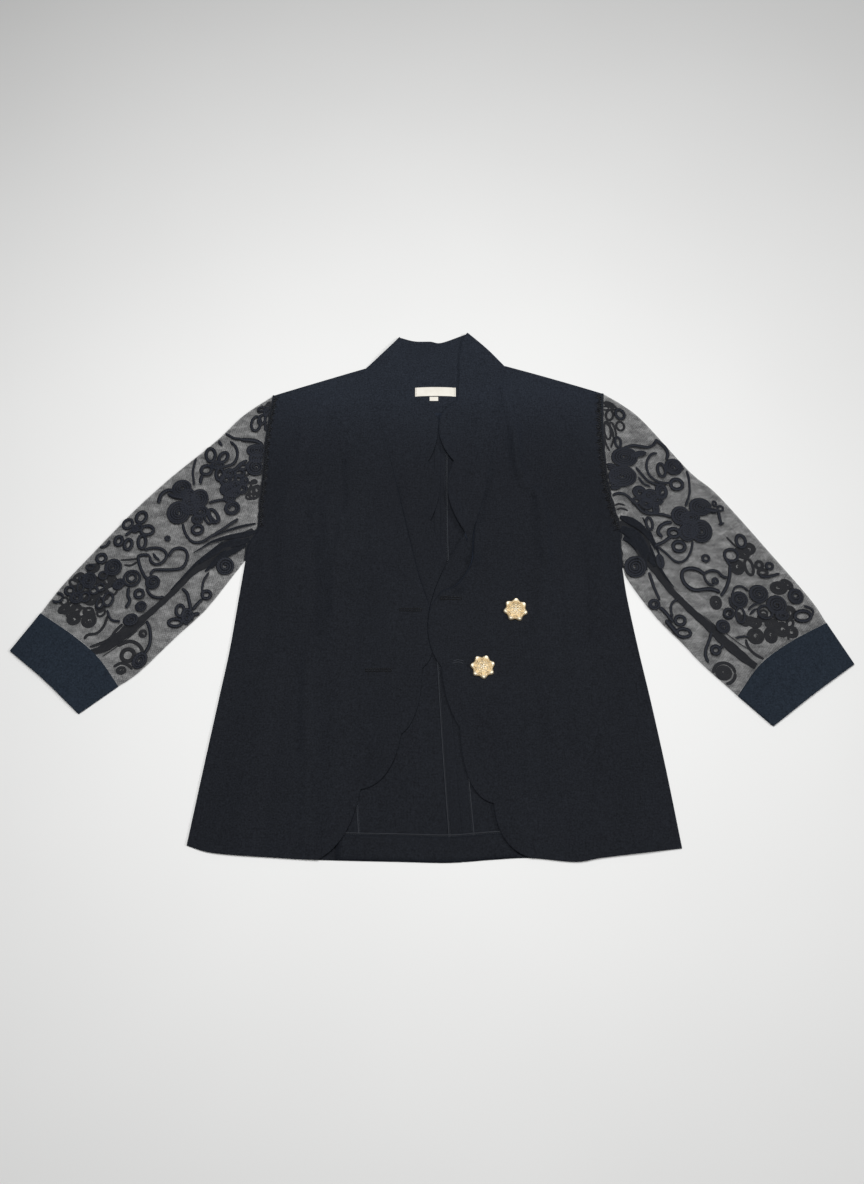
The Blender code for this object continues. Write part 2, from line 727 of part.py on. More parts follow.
def build_collar():
    """The shawl collar: a band that lies on the floor behind the neck, folds over at both sides and
    runs down in two scalloped lapels."""
    wall = CLOTH_WALL
    top_edge = smooth([PEAK_RIGHT, *COLLAR_TOP_EDGE, PEAK_LEFT], steps=4)
    band = Outline(
        fold_right=SIDE_FOLD["right"],
        top=top_edge,
        fold_left=SIDE_FOLD["left"][::-1],
        neck=joined(neck_line("left"), neck_line("right")[::-1]),
    )
    shell = Shell()
    inner_band = band.inset(["fold_right", "fold_left"], wall)
    floor = {"outer": lambda x, y: 0.0, "inner": lambda x, y: wall}
    shell.surface(band.points, floor["outer"])
    shell.surface(inner_band, floor["inner"])
    for name in ("top", "neck"):
        shell.edge(band.points, inner_band, band.runs[name], floor["outer"], floor["inner"])

    for side in ("right", "left"):
        lapel = Outline(fold=SIDE_FOLD[side], edge=lapel_edge(side), seam=lapel_seam(side)[::-1])
        inner_lapel = lapel.inset(["fold"], wall)

        def under(x, y):
            return drape(x, y, side) + collar_roll(x, y, side)

        def over(x, y):
            return under(x, y) + wall

        within = spread(lapel.points, *LAPEL_GRID)
        shell.surface(inner_lapel, under, within)
        shell.surface(lapel.points, over, within)
        for name in ("edge", "seam"):
            shell.edge(lapel.points, inner_lapel, lapel.runs[name], over, under)

        band_run = band.runs[f"fold_{side}"]
        if side == "left":
            band_run = band_run[::-1]
        lapel_run = lapel.runs["fold"]
        shell.edge(lapel.points, lapel.points, lapel_run, over, floor["outer"])
        pairs = [(inner_band[i], inner_lapel[j]) for i, j in zip(band_run, lapel_run)]
        for (low_a, high_a), (low_b, high_b) in zip(pairs, pairs[1:]):
            shell.face((*low_a, wall), (*low_b, wall), (*high_b, under(*high_b)), (*high_a, under(*high_a)))
        for place, j in ((0, lapel_run[0]), (-1, lapel_run[-1])):
            corner = lapel.points[j]
            low, high = pairs[place]
            shell.face((*corner, 0.0), (*low, wall), (*high, under(*high)), (*corner, over(*corner)))
    return shell.build("collar", CLOTH)


def petal(motif, slope):
    """A filled motif of the embroidery: the ellipse at its foot and the smaller one at its top."""
    turn = math.radians(motif.turn)
    rings = []
    for shrink in (0.0, slope):
        ring = []
        for i in range(MOTIF_SIDES):
            angle = 2 * math.pi * i / MOTIF_SIDES
            u = (motif.long - shrink) * math.cos(angle)
            v = (motif.short - shrink) * math.sin(angle)
            ring.append((motif.x + u * math.cos(turn) - v * math.sin(turn),
                         motif.y + u * math.sin(turn) + v * math.cos(turn)))
        rings.append(ring)
    return rings[0], rings[1], EMBROIDERY_RISE


def build_sleeve(side):
    """A net sleeve laid flat: a tube open at the armhole and at the cuff."""
    right = side == "right"
    stations = SLEEVE_RIGHT if right else SLEEVE_LEFT
    motifs = MOTIFS_RIGHT if right else MOTIFS_LEFT
    creases = SLEEVE_RIGHT_CREASES if right else SLEEVE_LEFT_CREASES
    outward = -1 if right else 1
    armhole = beside(armhole_line(side), outward * ARMHOLE_GAP)
    top = smooth([armhole[0], *[row[:2] for row in stations[1:]]])
    under = smooth([armhole[-1], *[row[2:] for row in stations[1:]]])
    cuff_seam = smooth(CUFF_SEAM_RIGHT if right else CUFF_SEAM_LEFT)
    outline = Outline(top=top, cuff=cuff_seam, under=under[::-1], armhole=armhole[::-1])
    held = [top, under, armhole]

    def upper(x, y):
        free = ease(min(distance(x, y, line) for line in held) / SLEEVE_REACH)
        return TOP_LIES + NET_WALL + free * (SLEEVE_PUFF + swell(x, y, creases))

    raised = [petal(motif, EMBROIDERY_SLOPE) for motif in motifs]
    within = [point for point in spread(outline.points, SLEEVE_GRID, SLEEVE_GRID)
              if all(math.dist(point, motif[:2]) > motif.long + MOTIF_CLEAR for motif in motifs)]
    return flat_tube(f"sleeve_{side}", outline, ["top", "under"], ["cuff", "armhole"], NET, NET_WALL,
                     upper, within, raised)


def build_cuff(side):
    """A turned cuff laid flat: a short tube open at both ends."""
    right = side == "right"
    seam = smooth(CUFF_SEAM_RIGHT if right else CUFF_SEAM_LEFT)
    seam = beside(seam, (1 if right else -1) * -SEAM_GAP)
    end = smooth(CUFF_END_RIGHT if right else CUFF_END_LEFT, steps=4)
    top_fold = bow(seam[0], tuple(np.add(seam[0], end[0]) / 2), end[0], steps=3)
    under_fold = bow(end[-1], tuple(np.add(seam[-1], end[-1]) / 2), seam[-1], steps=3)
    outline = Outline(top=top_fold, end=end, under=under_fold, seam=seam[::-1])
    held = [top_fold, under_fold]

    def upper(x, y):
        free = ease(min(distance(x, y, line) for line in held) / SLEEVE_REACH)
        return 2 * CUFF_WALL + SEAM_GAP + CUFF_PUFF * free

    within = spread(outline.points, CUFF_GRID, CUFF_GRID)
    return flat_tube(f"cuff_{side}", outline, ["top", "under"], ["end", "seam"], CUFF_CLOTH, CUFF_WALL,
                     upper, within)


def build_button(name, centre):
    """A domed flower button: rings of a lobed outline, one above the other, closed at both ends."""
    seat = front_underside(*centre, "left") + CLOTH_WALL + SEAM_GAP
    shell = Shell()
    rings = []
    for ring in BUTTON_RINGS:
        points = []
        for i in range(BUTTON_SIDES):
            angle = 2 * math.pi * i / BUTTON_SIDES
            wave = 0.5 - 0.5 * math.cos(BUTTON_TIPS * angle)
            radius = BUTTON_RADIUS * ring.share * (1 - BUTTON_TIP_DEPTH * wave * ring.lobed)
            points.append((centre[0] + radius * math.sin(angle), centre[1] + radius * math.cos(angle),
                           seat + ring.height + ring.petal_rise * (1 - wave)))
        rings.append(points)
    for below, above in zip(rings, rings[1:]):
        for i in range(BUTTON_SIDES):
            j = (i + 1) % BUTTON_SIDES
            shell.face(below[i], below[j], above[j], above[i])
    shell.face(*rings[0])
    shell.face(*rings[-1])
    return shell.build(name, BRASS)


def build_label():
    """The woven neck label, its top edge slightly arched, with the size tab under it."""
    width, height = LABEL_SIZE
    x, y = LABEL_CENTRE
    left, right, low, high = x - width / 2, x + width / 2, y - height / 2, y + height / 2
    top = bow((right, high - LABEL_ARCH), (x, high + LABEL_ARCH), (left, high - LABEL_ARCH))
    bottom = bow((left, low), (x, low + 2 * LABEL_ARCH), (right, low))
    seat = CLOTH_WALL + SEAM_GAP
    panel("neck_label", joined(bottom, top), LABEL_CLOTH, LABEL_WALL, lambda px, py: seat)

    tab_width, tab_height = TAB_SIZE
    tab_top = low - SEAM_GAP
    corners = [
        (TAB_CENTRE_X - tab_width / 2, tab_top - tab_height),
        (TAB_CENTRE_X + tab_width / 2, tab_top - tab_height),
        (TAB_CENTRE_X + tab_width / 2, tab_top),
        (TAB_CENTRE_X - tab_width / 2, tab_top),
    ]
    panel("size_tab", corners, LABEL_CLOTH, LABEL_WALL, lambda px, py: seat)


def clear_scene():
    for piece in list(bpy.data.objects):
        bpy.data.objects.remove(piece)


def main():
    clear_scene()
    for side in ("right", "left"):
        build_back(side)
        build_front(side)
        build_sleeve(side)
        build_cuff(side)
    build_collar()
    build_button("button_upper", BUTTON_UPPER)
    build_button("button_lower", BUTTON_LOWER)
    build_label()


main()
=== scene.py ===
# %% [markdown]
# # A blazer laid flat on a pale floor
# The garment is a light jacket of blue-black suiting with sheer embroidered sleeves. It lies on its
# back with the fronts up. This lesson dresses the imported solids: every cloth piece becomes a thin
# shell on the same cutting lines, the sleeves become net with cord embroidery, and the two buttons
# become castings. Tables of places are in millimetres, and make_piece turns them to metres.

# %% Frame
import math
from collections import namedtuple

import bmesh
import bpy
import numpy as np
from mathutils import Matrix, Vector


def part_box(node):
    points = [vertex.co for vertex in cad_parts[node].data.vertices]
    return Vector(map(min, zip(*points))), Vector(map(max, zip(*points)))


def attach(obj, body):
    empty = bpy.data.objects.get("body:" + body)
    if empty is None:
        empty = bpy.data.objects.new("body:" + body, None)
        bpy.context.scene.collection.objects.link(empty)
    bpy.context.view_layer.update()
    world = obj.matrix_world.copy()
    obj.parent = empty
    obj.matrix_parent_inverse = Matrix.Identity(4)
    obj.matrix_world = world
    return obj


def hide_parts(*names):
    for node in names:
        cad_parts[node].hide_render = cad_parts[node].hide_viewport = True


MM = 0.001
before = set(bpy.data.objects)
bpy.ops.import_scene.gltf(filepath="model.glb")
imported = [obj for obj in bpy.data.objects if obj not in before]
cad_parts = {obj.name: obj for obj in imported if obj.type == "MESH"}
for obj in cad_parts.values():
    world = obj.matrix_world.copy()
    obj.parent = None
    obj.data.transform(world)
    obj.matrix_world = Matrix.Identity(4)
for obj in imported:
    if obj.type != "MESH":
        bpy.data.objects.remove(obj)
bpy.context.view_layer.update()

# %% [markdown]
# ## Camera
# The photograph was taken by someone who stood at the hem and tilted the camera a little towards
# the collar, so the camera looks down, tilted 20 degrees. A focal length of 929 pixels on a frame
# 1184 pixels high gives the same converging side seams.

# %% Camera
FRAME_HEIGHT_PX = 1184
FOCAL_LENGTH_PX = 929
SENSOR_MM = 36
CAMERA_TILT = 20
CAMERA_PLACE = (0.0011, -0.4013, 1.030)


def placed(name, data):
    """An object that holds this camera, mesh or lamp, linked to the scene."""
    made = bpy.data.objects.new(name, data)
    bpy.context.scene.collection.objects.link(made)
    return made


camera_data = bpy.data.cameras.new("camera")
camera_data.sensor_width = SENSOR_MM
camera_data.lens = SENSOR_MM * FOCAL_LENGTH_PX / FRAME_HEIGHT_PX
camera = placed("camera", camera_data)
camera.location = CAMERA_PLACE
camera.rotation_euler = (math.radians(CAMERA_TILT), 0, 0)
bpy.context.scene.camera = camera

# %% [markdown]
# ## Curves
# A garment is cut along a few lines. Smooth seams run through a short list of places as
# Catmull-Rom curves, which pass through every place, and each scallop is a parabola, which needs
# only its two ends and the point that it leans to.

# %% Curves
def smooth_curve(places, steps=8):
    """On each stretch a cubic whose slope at a place is half the way from the place before it to the
    one after."""
    knots = np.array(places, float)
    knots = np.vstack([2 * knots[0] - knots[1], knots, 2 * knots[-1] - knots[-2]])
    t = np.arange(steps)[:, None] / steps
    before, start, end, after = (knots[i:len(knots) - 3 + i][:, None, :] for i in range(4))
    curve = 0.5 * (
        2 * start
        + (end - before) * t
        + (2 * before - 5 * start + 4 * end - after) * t**2
        + (3 * start - before - 3 * end + after) * t**3
    )
    return np.vstack([curve.reshape(-1, knots.shape[1]), knots[-2:-1]])


def parabola(start, control, end, t):
    """(1 - t) squared times start, plus 2 t (1 - t) times control, plus t squared times end."""
    start, control, end = (np.array(place, float) for place in (start, control, end))
    t = np.asarray(t, float)[:, None]
    return (1 - t) ** 2 * start + 2 * t * (1 - t) * control + t**2 * end


def join(*lines):
    """Lines end to end, where each starts at the point that the one before it ends at."""
    return np.vstack([lines[0], *[line[1:] for line in lines[1:]]])


def travelled(line):
    """Share of the line's length at each of its points: running sum of the steps over the total."""
    steps = np.linalg.norm(np.diff(line, axis=0), axis=1)
    total = np.concatenate([[0.0], np.cumsum(steps)])
    return total / total[-1]


def length_of(line):
    return float(np.linalg.norm(np.diff(line, axis=0), axis=1).sum())


def at_shares(line, shares):
    """Points at these shares of the line's length, by straight interpolation."""
    along = travelled(line)
    return np.column_stack([np.interp(shares, along, line[:, i]) for i in range(line.shape[1])])


def beside(line, shift):
    """The line moved to the left of its own direction by shift, one number or one for each point."""
    along = np.gradient(line[:, :2], axis=0)
    along /= np.linalg.norm(along, axis=1)[:, None]
    moved = line.copy()
    moved[:, :2] += np.column_stack([-along[:, 1], along[:, 0]]) * np.reshape(shift, (-1, 1))
    return moved


def distance(places, line):
    """Distance from each place to the line: the least over its straight pieces, each clamped to its
    ends."""
    flat = places.reshape(-1, 2)
    start, along = line[:-1], np.diff(line, axis=0)
    squared = np.maximum((along**2).sum(axis=1), 1e-9)
    least = np.full(len(flat), 1e9)
    for piece, way, size in zip(start, along, squared):
        offset = flat - piece
        share = np.clip(offset @ way / size, 0, 1)
        least = np.minimum(least, np.linalg.norm(offset - share[:, None] * way, axis=1))
    return least.reshape(places.shape[:-1])


def ease(share):
    """From 0 to 1 with no kink at either end: 3 s squared minus 2 s cubed."""
    share = np.clip(share, 0, 1)
    return share * share * (3 - 2 * share)


# %% [markdown]
# ## Cutting lines
# Sides are named by the wearer, whose right is at -X. The same few driving places as in the solids
# give each seam, so the shells lie exactly where the solids are.

# %% Cutting lines
Scallop = namedtuple("Scallop", "x y bow_x bow_y")
SIDES = ("right", "left")
OUTWARD = {"right": -1, "left": 1}

NECK = {"right": (-85, 280), "left": (95, 284)}
PEAK = {"right": (-41.5, 328), "left": (48, 334)}
SIDE_FOLD_BOW = {"right": (-62.5, 303), "left": (73, 311)}
COLLAR_TOP = [(-22, 322), (-1, 321.5), (14, 319.8)]
CENTRE_NECK = (11.5, 257)
BACK_NECK_BOW = {"right": (-34, 257), "left": (56, 257)}
SHOULDER_TIP = {"right": (-200, 240), "left": (218, 243)}
SHOULDER_BOW = {"right": (-141, 261), "left": (158, 264.5)}
ARMHOLE = {
    "right": [(-206, 185), (-207, 125), (-208.5, 88), (-209, 55), (-220, 32)],
    "left": [(215, 185), (216, 125), (221, 88), (227.5, 55), (226.5, 32)],
}
SIDE_SEAM = {
    "right": [(-221.5, 13), (-226, -35), (-232, -98), (-240, -156), (-251, -235)],
    "left": [(227.5, 4), (230.5, -35), (239, -98), (248, -156), (259, -235)],
}
HEM = [
    (-262, -316), (-231, -324), (-161, -329), (-121, -331), (-33, -333), (20, -334),
    (63, -331), (106, -329), (154, -333), (181, -329), (224, -324), (269, -319),
]
CENTRE_BACK = [(11.5, 257), (11.5, 8), (20, -130), (27, -227), (35, -333)]

SCALLOPS_LEFT = [
    Scallop(48, 334, 36, 317), Scallop(36, 279, 36, 256), Scallop(34, 233, 12, 218),
    Scallop(10.5, 200, 6, 170), Scallop(28, 144, 7, 100), Scallop(41, 48, -30, -65),
    Scallop(12, -119, 14, -160), Scallop(32, -189, 35, -265), Scallop(68, -272, 71, -319),
    Scallop(106, -329, 0, 0),
]
LARGE_LOBE = 5  # row above of the lobe along which the two fronts meet
SCALLOPS_RIGHT_ABOVE = [
    Scallop(-41.5, 328, -27, 294), Scallop(-26, 264, -22, 248), Scallop(-21, 231, 8, 217),
    Scallop(9, 200, 10, 168), Scallop(-4, 144, 22, 111), Scallop(-1, 64, 8, 38),
]
SCALLOPS_RIGHT_BELOW = [
    Scallop(-10, -120, -11, -179), Scallop(-33, -196, -43, -252), Scallop(-77, -257, -87, -315),
    Scallop(-121, -331, 0, 0),
]
MEET_START = 0.20
BREAK_SHARE = 0.475
MEET_END = 0.85
MEET_GAP = 0.8
RIGHT_TURN = (-0.9, -113)
LAPEL_SEAM = {
    "right": [(-85, 280), (-54, 160), (-41, 106), (-25, 36), (-14, -8)],
    "left": [(95, 284), (87, 220), (68, 112), (58, 73), (51, 46), (47, 8), (30, -18), (12, -27)],
}
LOBE_STEPS, MEET_STEPS, SEAM_STEPS = 14, 10, 16


# %% Lines through these places
def lobes(rows):
    """One parabola from each row's cusp to the next row's."""
    t = np.linspace(0, 1, LOBE_STEPS)
    return join(*[parabola(row[:2], row[2:], below[:2], t) for row, below in zip(rows, rows[1:])])


def meeting_line(side, first, last):
    """A stretch of the large lobe, along which the right front's edge lies beside the left one's."""
    lobe, below = SCALLOPS_LEFT[LARGE_LOBE:LARGE_LOBE + 2]
    line = parabola(lobe[:2], lobe[2:], below[:2], np.linspace(first, last, MEET_STEPS))
    return line - (MEET_GAP, 0) if side == "right" else line


def side_line(side):
    corner = HEM[0] if side == "right" else HEM[-1]
    return smooth_curve([*SIDE_SEAM[side], corner])


def armhole_line(side):
    return smooth_curve([SHOULDER_TIP[side], *ARMHOLE[side], SIDE_SEAM[side][0]])


def from_neck(side, bow, end):
    return parabola(NECK[side], bow, end, np.linspace(0, 1, SEAM_STEPS))


def shoulder_line(side):
    return from_neck(side, SHOULDER_BOW[side], SHOULDER_TIP[side])


def neck_line(side):
    return from_neck(side, BACK_NECK_BOW[side], CENTRE_NECK)


def fold_line(side):
    return from_neck(side, SIDE_FOLD_BOW[side], PEAK[side])


def lapel_seam(side):
    return smooth_curve([*LAPEL_SEAM[side], meeting_line(side, BREAK_SHARE, 1)[0]])


def lapel_edge(side):
    if side == "left":
        return join(lobes(SCALLOPS_LEFT[:LARGE_LOBE + 1]), meeting_line(side, 0, BREAK_SHARE))
    meeting = meeting_line(side, MEET_START, BREAK_SHARE)
    return join(lobes([*SCALLOPS_RIGHT_ABOVE, Scallop(*meeting[0], 0, 0)]), meeting)


def front_edge(side):
    if side == "left":
        return join(meeting_line(side, BREAK_SHARE, 1), lobes(SCALLOPS_LEFT[LARGE_LOBE + 1:]))
    meeting = meeting_line(side, BREAK_SHARE, MEET_END)
    turn = parabola(meeting[-1], RIGHT_TURN, SCALLOPS_RIGHT_BELOW[0][:2], np.linspace(0, 1, 5))
    return join(meeting, turn, lobes(SCALLOPS_RIGHT_BELOW))


def hem_line(side, end):
    """From the side seam's corner to the place end, along the hem."""
    line = smooth_curve(HEM if side == "right" else HEM[::-1])
    inward = OUTWARD[side] * (line[:, 0] - end[0]) > 1.0
    return np.vstack([line[inward], [end]])


# %% Lengths along the seams
HELD = {side: join(shoulder_line(side), armhole_line(side), side_line(side)) for side in SIDES}
print("front edge lengths", {side: round(length_of(front_edge(side))) for side in SIDES})

# %% [markdown]
# ## How the upper cloth lies
# Seams hold the upper cloth down at 1.5 mm, on the back. Away from them air lifts it a little, and
# soft folds run through it. A fold is a line with a height and a width: the cloth rises by
# height times exp(-(distance / width) squared). Troughs are folds with a negative height.

# %% Folds
Fold = namedtuple("Fold", "rise width points")

CLOTH_WALL = 1.0
LEAST_WALL = 0.15  # where a face is rolled down
SOLID_WALL = 1.2
TOP_LIES = 1.5  # underside of the upper cloth at its seams
PUFF = 1.2
HELD_REACH = 34.0  # distance over which the cloth rises from a seam
BACK_TOP = 1.1

BODY_FOLDS = {
    "right": [
        Fold(1.6, 13, [(-98, 150), (-96, 40)]), Fold(2.2, 14, [(-126, 80), (-112, -90)]),
        Fold(2.6, 18, [(-104, -150), (-108, -318)]), Fold(1.6, 16, [(-178, 130), (-172, -40)]),
        Fold(2.0, 18, [(-190, -120), (-206, -300)]), Fold(1.6, 16, [(-60, -20), (-50, -230)]),
    ],
    "left": [
        Fold(2.4, 12, [(92, 240), (112, 130)]), Fold(2.4, 12, [(137, 100), (128, -60)]),
        Fold(2.2, 15, [(124, -70), (146, -250)]), Fold(2.2, 12, [(164, -70), (162, -200)]),
        Fold(2.6, 14, [(198, 20), (200, -110)]), Fold(2.0, 16, [(214, -170), (226, -310)]),
        Fold(2.0, 16, [(80, -170), (92, -315)]),
    ],
}

# %% Folds of the lapels
LAPEL_FOLDS = [Fold(0.9, 10, [(-60, 230), (-30, 110)]), Fold(0.9, 10, [(70, 240), (56, 120)])]
LAPEL_RIDGE = [
    Fold(3.6, 7, [(56, 56), (51, 10)]), Fold(4.2, 7, [(51, 10), (34, -22)]),
    Fold(3.0, 6, [(34, -22), (16, -32)]),
]
LAPEL_LIFT = {
    "right": [Fold(1.4, 8, [(5, 168), (-5, 146)]), Fold(1.6, 8, [(8, 100), (0, 68)])],
    "left": [
        Fold(1.6, 7, [(12, 206), (12, 174)]), Fold(3.0, 8, [(13, 170), (29, 144)]),
        Fold(3.4, 8, [(21, 98), (30, 74), (39, 56)]),
    ],
}

# %% Fine creases
FINE_FOLDS = {
    "right": [
        Fold(-1.6, 5, [(-112, 150), (-108, 92), (-116, 40)]),
        Fold(1.1, 5, [(-130, 93), (-121, 40), (-118, 14), (-115, -59)]),
        Fold(-1.3, 6, [(-143, 60), (-136, -30), (-140, -96)]),
        Fold(1, 6, [(-160, 196), (-168, 130), (-182, 80)]),
        Fold(-1.1, 7, [(-190, 40), (-186, -40), (-196, -120)]),
        Fold(1, 4, [(-206, 20), (-192, -10), (-186, -54)]),
        Fold(-1, 5, [(-84, -60), (-92, -130), (-88, -190)]),
        Fold(0.8, 6, [(-130, -170), (-138, -250), (-134, -318)]),
        Fold(-1, 6, [(-166, -150), (-176, -240), (-180, -320)]),
        Fold(0.8, 5, [(-74, 60), (-66, 0), (-40, -40)]),
        Fold(0.6, 4, [(-150, 240), (-110, 200), (-96, 150)]),
        Fold(2.4, 6, [(-111, 72), (-110, 20), (-111, -52)]),
        Fold(2.2, 6, [(-141, -86), (-142, -150), (-140, -212)]),
        Fold(1.8, 5, [(-143, 72), (-142, 48)]),
        Fold(-1, 3.5, [(-42, 108), (-30, 50), (-19, 4), (-8, -34)]),
    ],
    "left": [
        Fold(1.3, 4, [(90, 249), (101, 191), (105, 144)]),
        Fold(-1.6, 5, [(104, 244), (114, 190), (118, 130)]),
        Fold(1.1, 5, [(129, 107), (130, 53), (134, 16)]),
        Fold(-1.3, 6, [(148, 110), (146, 40), (152, -40)]),
        Fold(1.6, 4, [(211, 40), (205, 14), (197, -24)]),
        Fold(1, 4, [(158, -36), (156, -86)]),
        Fold(-1.1, 5, [(176, 60), (182, -10), (178, -90)]),
        Fold(0.8, 6, [(168, 220), (182, 160), (196, 110)]),
        Fold(-1, 6, [(112, -120), (120, -190), (116, -270)]),
        Fold(0.8, 6, [(180, -150), (186, -230), (184, -318)]),
        Fold(-1, 6, [(206, -120), (214, -200), (230, -310)]),
        Fold(0.6, 4, [(60, -150), (56, -200), (64, -250)]),
        Fold(2.6, 6, [(107, 188), (105, 150), (112, 116), (131, 96), (138, 60), (139, 8)]),
        Fold(2.0, 6, [(207, 68), (206, 30), (208, -8)]),
        Fold(2.0, 7, [(109, -172), (108, -246)]),
        Fold(1.6, 6, [(138, -105), (137, -135)]),
        Fold(-1.8, 3.5, [(74, 136), (67, 104), (61, 76), (54, 46)]),
    ],
}


# %% Height of the upper cloth
def relief(places, folds):
    """Sum over the folds of rise times exp(-(distance / width) squared)."""
    total = np.zeros(places.shape[:-1])
    for fold in folds:
        away = distance(places, np.array(fold.points, float))
        total += fold.rise * np.exp(-((away / fold.width) ** 2))
    return total


BUTTON = {"upper": (98.5, -50.3), "lower": (59, -119.2)}
BUTTON_REST, BUTTON_BLEND = 17.0, 14.0  # radius of level cloth, and how far it takes to blend


def drape(places, side):
    """Height of the upper cloth's underside: it eases from the seams to a puff with the wide folds."""
    free = ease(distance(places, HELD[side]) / HELD_REACH)
    return TOP_LIES + free * (PUFF + relief(places, BODY_FOLDS[side] + LAPEL_FOLDS))


def front_top(places, side):
    """Upper face of a front: the drape, the left one's ridge over its lapel, the fine folds, and level
    cloth where a button lies."""
    def wide(spots):
        ridge = relief(spots, LAPEL_RIDGE) if side == "left" else 0.0
        return drape(spots, side) + ridge

    free = ease(distance(places, HELD[side]) / HELD_REACH)
    height = wide(places)
    fine = free * relief(places, FINE_FOLDS[side])
    if side == "left":
        for centre in BUTTON.values():
            away = np.linalg.norm(places - centre, axis=-1)
            level = 1 - ease((away - BUTTON_REST) / BUTTON_BLEND)
            height += (wide(np.array([centre], float))[0] - height) * level
            fine *= 1 - level
    return height + fine + SOLID_WALL


# %% [markdown]
# ## From lines to a shell of cloth
# A Coons patch fills four boundary lines: it adds the surface ruled from top to bottom to the one
# ruled from side to side and takes the four corners off once. The upper and the lower face share
# that plan, and a rim of faces joins them, so each panel is one closed thin shell. The grid is
# dense in the last millimetres, where the cloth's edge is rounded.

# %% Shells
EDGE_MM = np.array([0, 0.15, 0.45, 0.9, 1.5, 2.3, 3.4, 5.0])


def edge_shares(length, count):
    """Shares of a length that are close together at both ends and even between them."""
    fine = EDGE_MM[EDGE_MM < 0.4 * length] / length
    return np.concatenate([fine, np.linspace(fine[-1], 1 - fine[-1], count)[1:-1], 1 - fine[::-1]])


def line_shares(line, spacing):
    """Shares of a line: those of its own points, fine ones at the ends, even ones at the spacing."""
    length = length_of(line)
    shares = np.concatenate([travelled(line), edge_shares(length, int(length / spacing))])
    shares = np.unique(shares.round(6))
    return shares[np.concatenate([[True], np.diff(shares) > 0.1 / length])]


def patch(top, bottom, left, right, across, down):
    """Coons patch between four lines that are read at the shares across and down."""
    top, bottom = at_shares(top, across)[None], at_shares(bottom, across)[None]
    left, right = at_shares(left, down)[:, None], at_shares(right, down)[:, None]
    u, v = across[None, :, None], down[:, None, None]
    corners = (1 - u) * (1 - v) * top[:, :1] + u * (1 - v) * top[:, -1:]
    corners = corners + (1 - u) * v * bottom[:, :1] + u * v * bottom[:, -1:]
    return (1 - v) * top + v * bottom + (1 - u) * left + u * right - corners


def grid_faces(rows, columns, start=0, wrap=False):
    """Four corners of each cell of a grid of numbered points, which may close on itself across."""
    index = start + np.arange(rows * columns).reshape(rows, columns)
    if wrap:
        index = np.hstack([index, index[:, :1]])
    corners = index[:-1, :-1], index[1:, :-1], index[1:, 1:], index[:-1, 1:]
    return np.stack(corners, axis=-1).reshape(-1, 4)


def thin_shell(plan, top, bottom):
    """Closed shell: upper face, lower face and the rim between them. Returns points and faces."""
    down, across = np.gradient(plan, axis=0), np.gradient(plan, axis=1)
    if (down[..., 0] * across[..., 1] - down[..., 1] * across[..., 0]).mean() < 0:
        plan, top, bottom = plan[:, ::-1], top[:, ::-1], bottom[:, ::-1]
    rows, columns = top.shape
    count = rows * columns
    points = np.vstack([np.dstack([plan, height]).reshape(-1, 3) for height in (top, bottom)])
    index = np.arange(count).reshape(rows, columns)
    ring = np.concatenate([index[0], index[1:, -1], index[-1, -2::-1], index[-2:0:-1, 0]])
    after = np.roll(ring, -1)
    rim = np.stack([ring, after, after + count, ring + count], axis=-1)
    faces = np.vstack([grid_faces(rows, columns), grid_faces(rows, columns, count)[:, ::-1], rim])
    return points, faces


def combine(parts):
    """Several (points, faces) as one: each part's faces are renumbered past the points before it."""
    starts = np.cumsum([0, *[len(points) for points, _ in parts]])
    faces = [[start + i for i in face] for start, (_, own) in zip(starts, parts) for face in own]
    return np.vstack([points for points, _ in parts]), faces


# %% [markdown]
# A piece is a mesh with one material. Every one of them rides on the only body, root.

# %% Pieces
DOUBLES_M = 0.00001


def cleaned(mesh, outwards=False):
    """Merges a mesh's doubles and, if asked, turns its faces outwards."""
    work = bmesh.new()
    work.from_mesh(mesh)
    bmesh.ops.remove_doubles(work, verts=work.verts, dist=DOUBLES_M)
    if outwards:
        bmesh.ops.recalc_face_normals(work, faces=work.faces)
    work.to_mesh(mesh)
    work.free()


def make_piece(name, points, faces, material, slot, uv=None, merge=True):
    """A mesh object at the origin from points in millimetres, smooth shaded, with doubles merged."""
    mesh = bpy.data.meshes.new(name)
    mesh.from_pydata((np.asarray(points) * MM).tolist(), [], [list(face) for face in faces])
    if uv is not None:
        corner = np.zeros(len(mesh.loops), np.int32)
        mesh.loops.foreach_get("vertex_index", corner)
        layer = mesh.uv_layers.new(name="thread")
        layer.data.foreach_set("uv", np.asarray(uv, np.float32)[corner].ravel())
    if merge:
        cleaned(mesh)
    mesh.shade_smooth()
    mesh.materials.append(material)
    piece = placed(name, mesh)
    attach(piece, "root")
    return piece


def mark_raised(piece, values):
    """Gives each point a number that its material reads as the attribute raised."""
    layer = piece.data.attributes.new("raised", "FLOAT", "POINT")
    layer.data.foreach_set("value", values.astype(np.float32))


def plan_area(points, faces):
    """Area in square metres of the faces that look up, by the cross product of their diagonals."""
    corners = points[np.array([face for face in faces if len(face) == 4])][..., :2]
    one, other = corners[:, 2] - corners[:, 0], corners[:, 3] - corners[:, 1]
    areas = (one[:, 0] * other[:, 1] - one[:, 1] * other[:, 0]) / 2
    return float(areas[areas > 0].sum()) * MM * MM


# %% [markdown]
# No edge of cloth is sharp. A face drops towards its edge as a quarter ellipse does.

# %% Edges
def rounded(depth, edge, radius):
    """How far a face is from its level near an edge: depth at the edge and 0 from radius on, as a
    quarter ellipse."""
    share = 1 - np.clip(edge / radius, 0, 1)
    return depth * (1 - np.sqrt(1 - share**2))


EDGE_DROP = 0.4
EDGE_RADIUS = 1.5


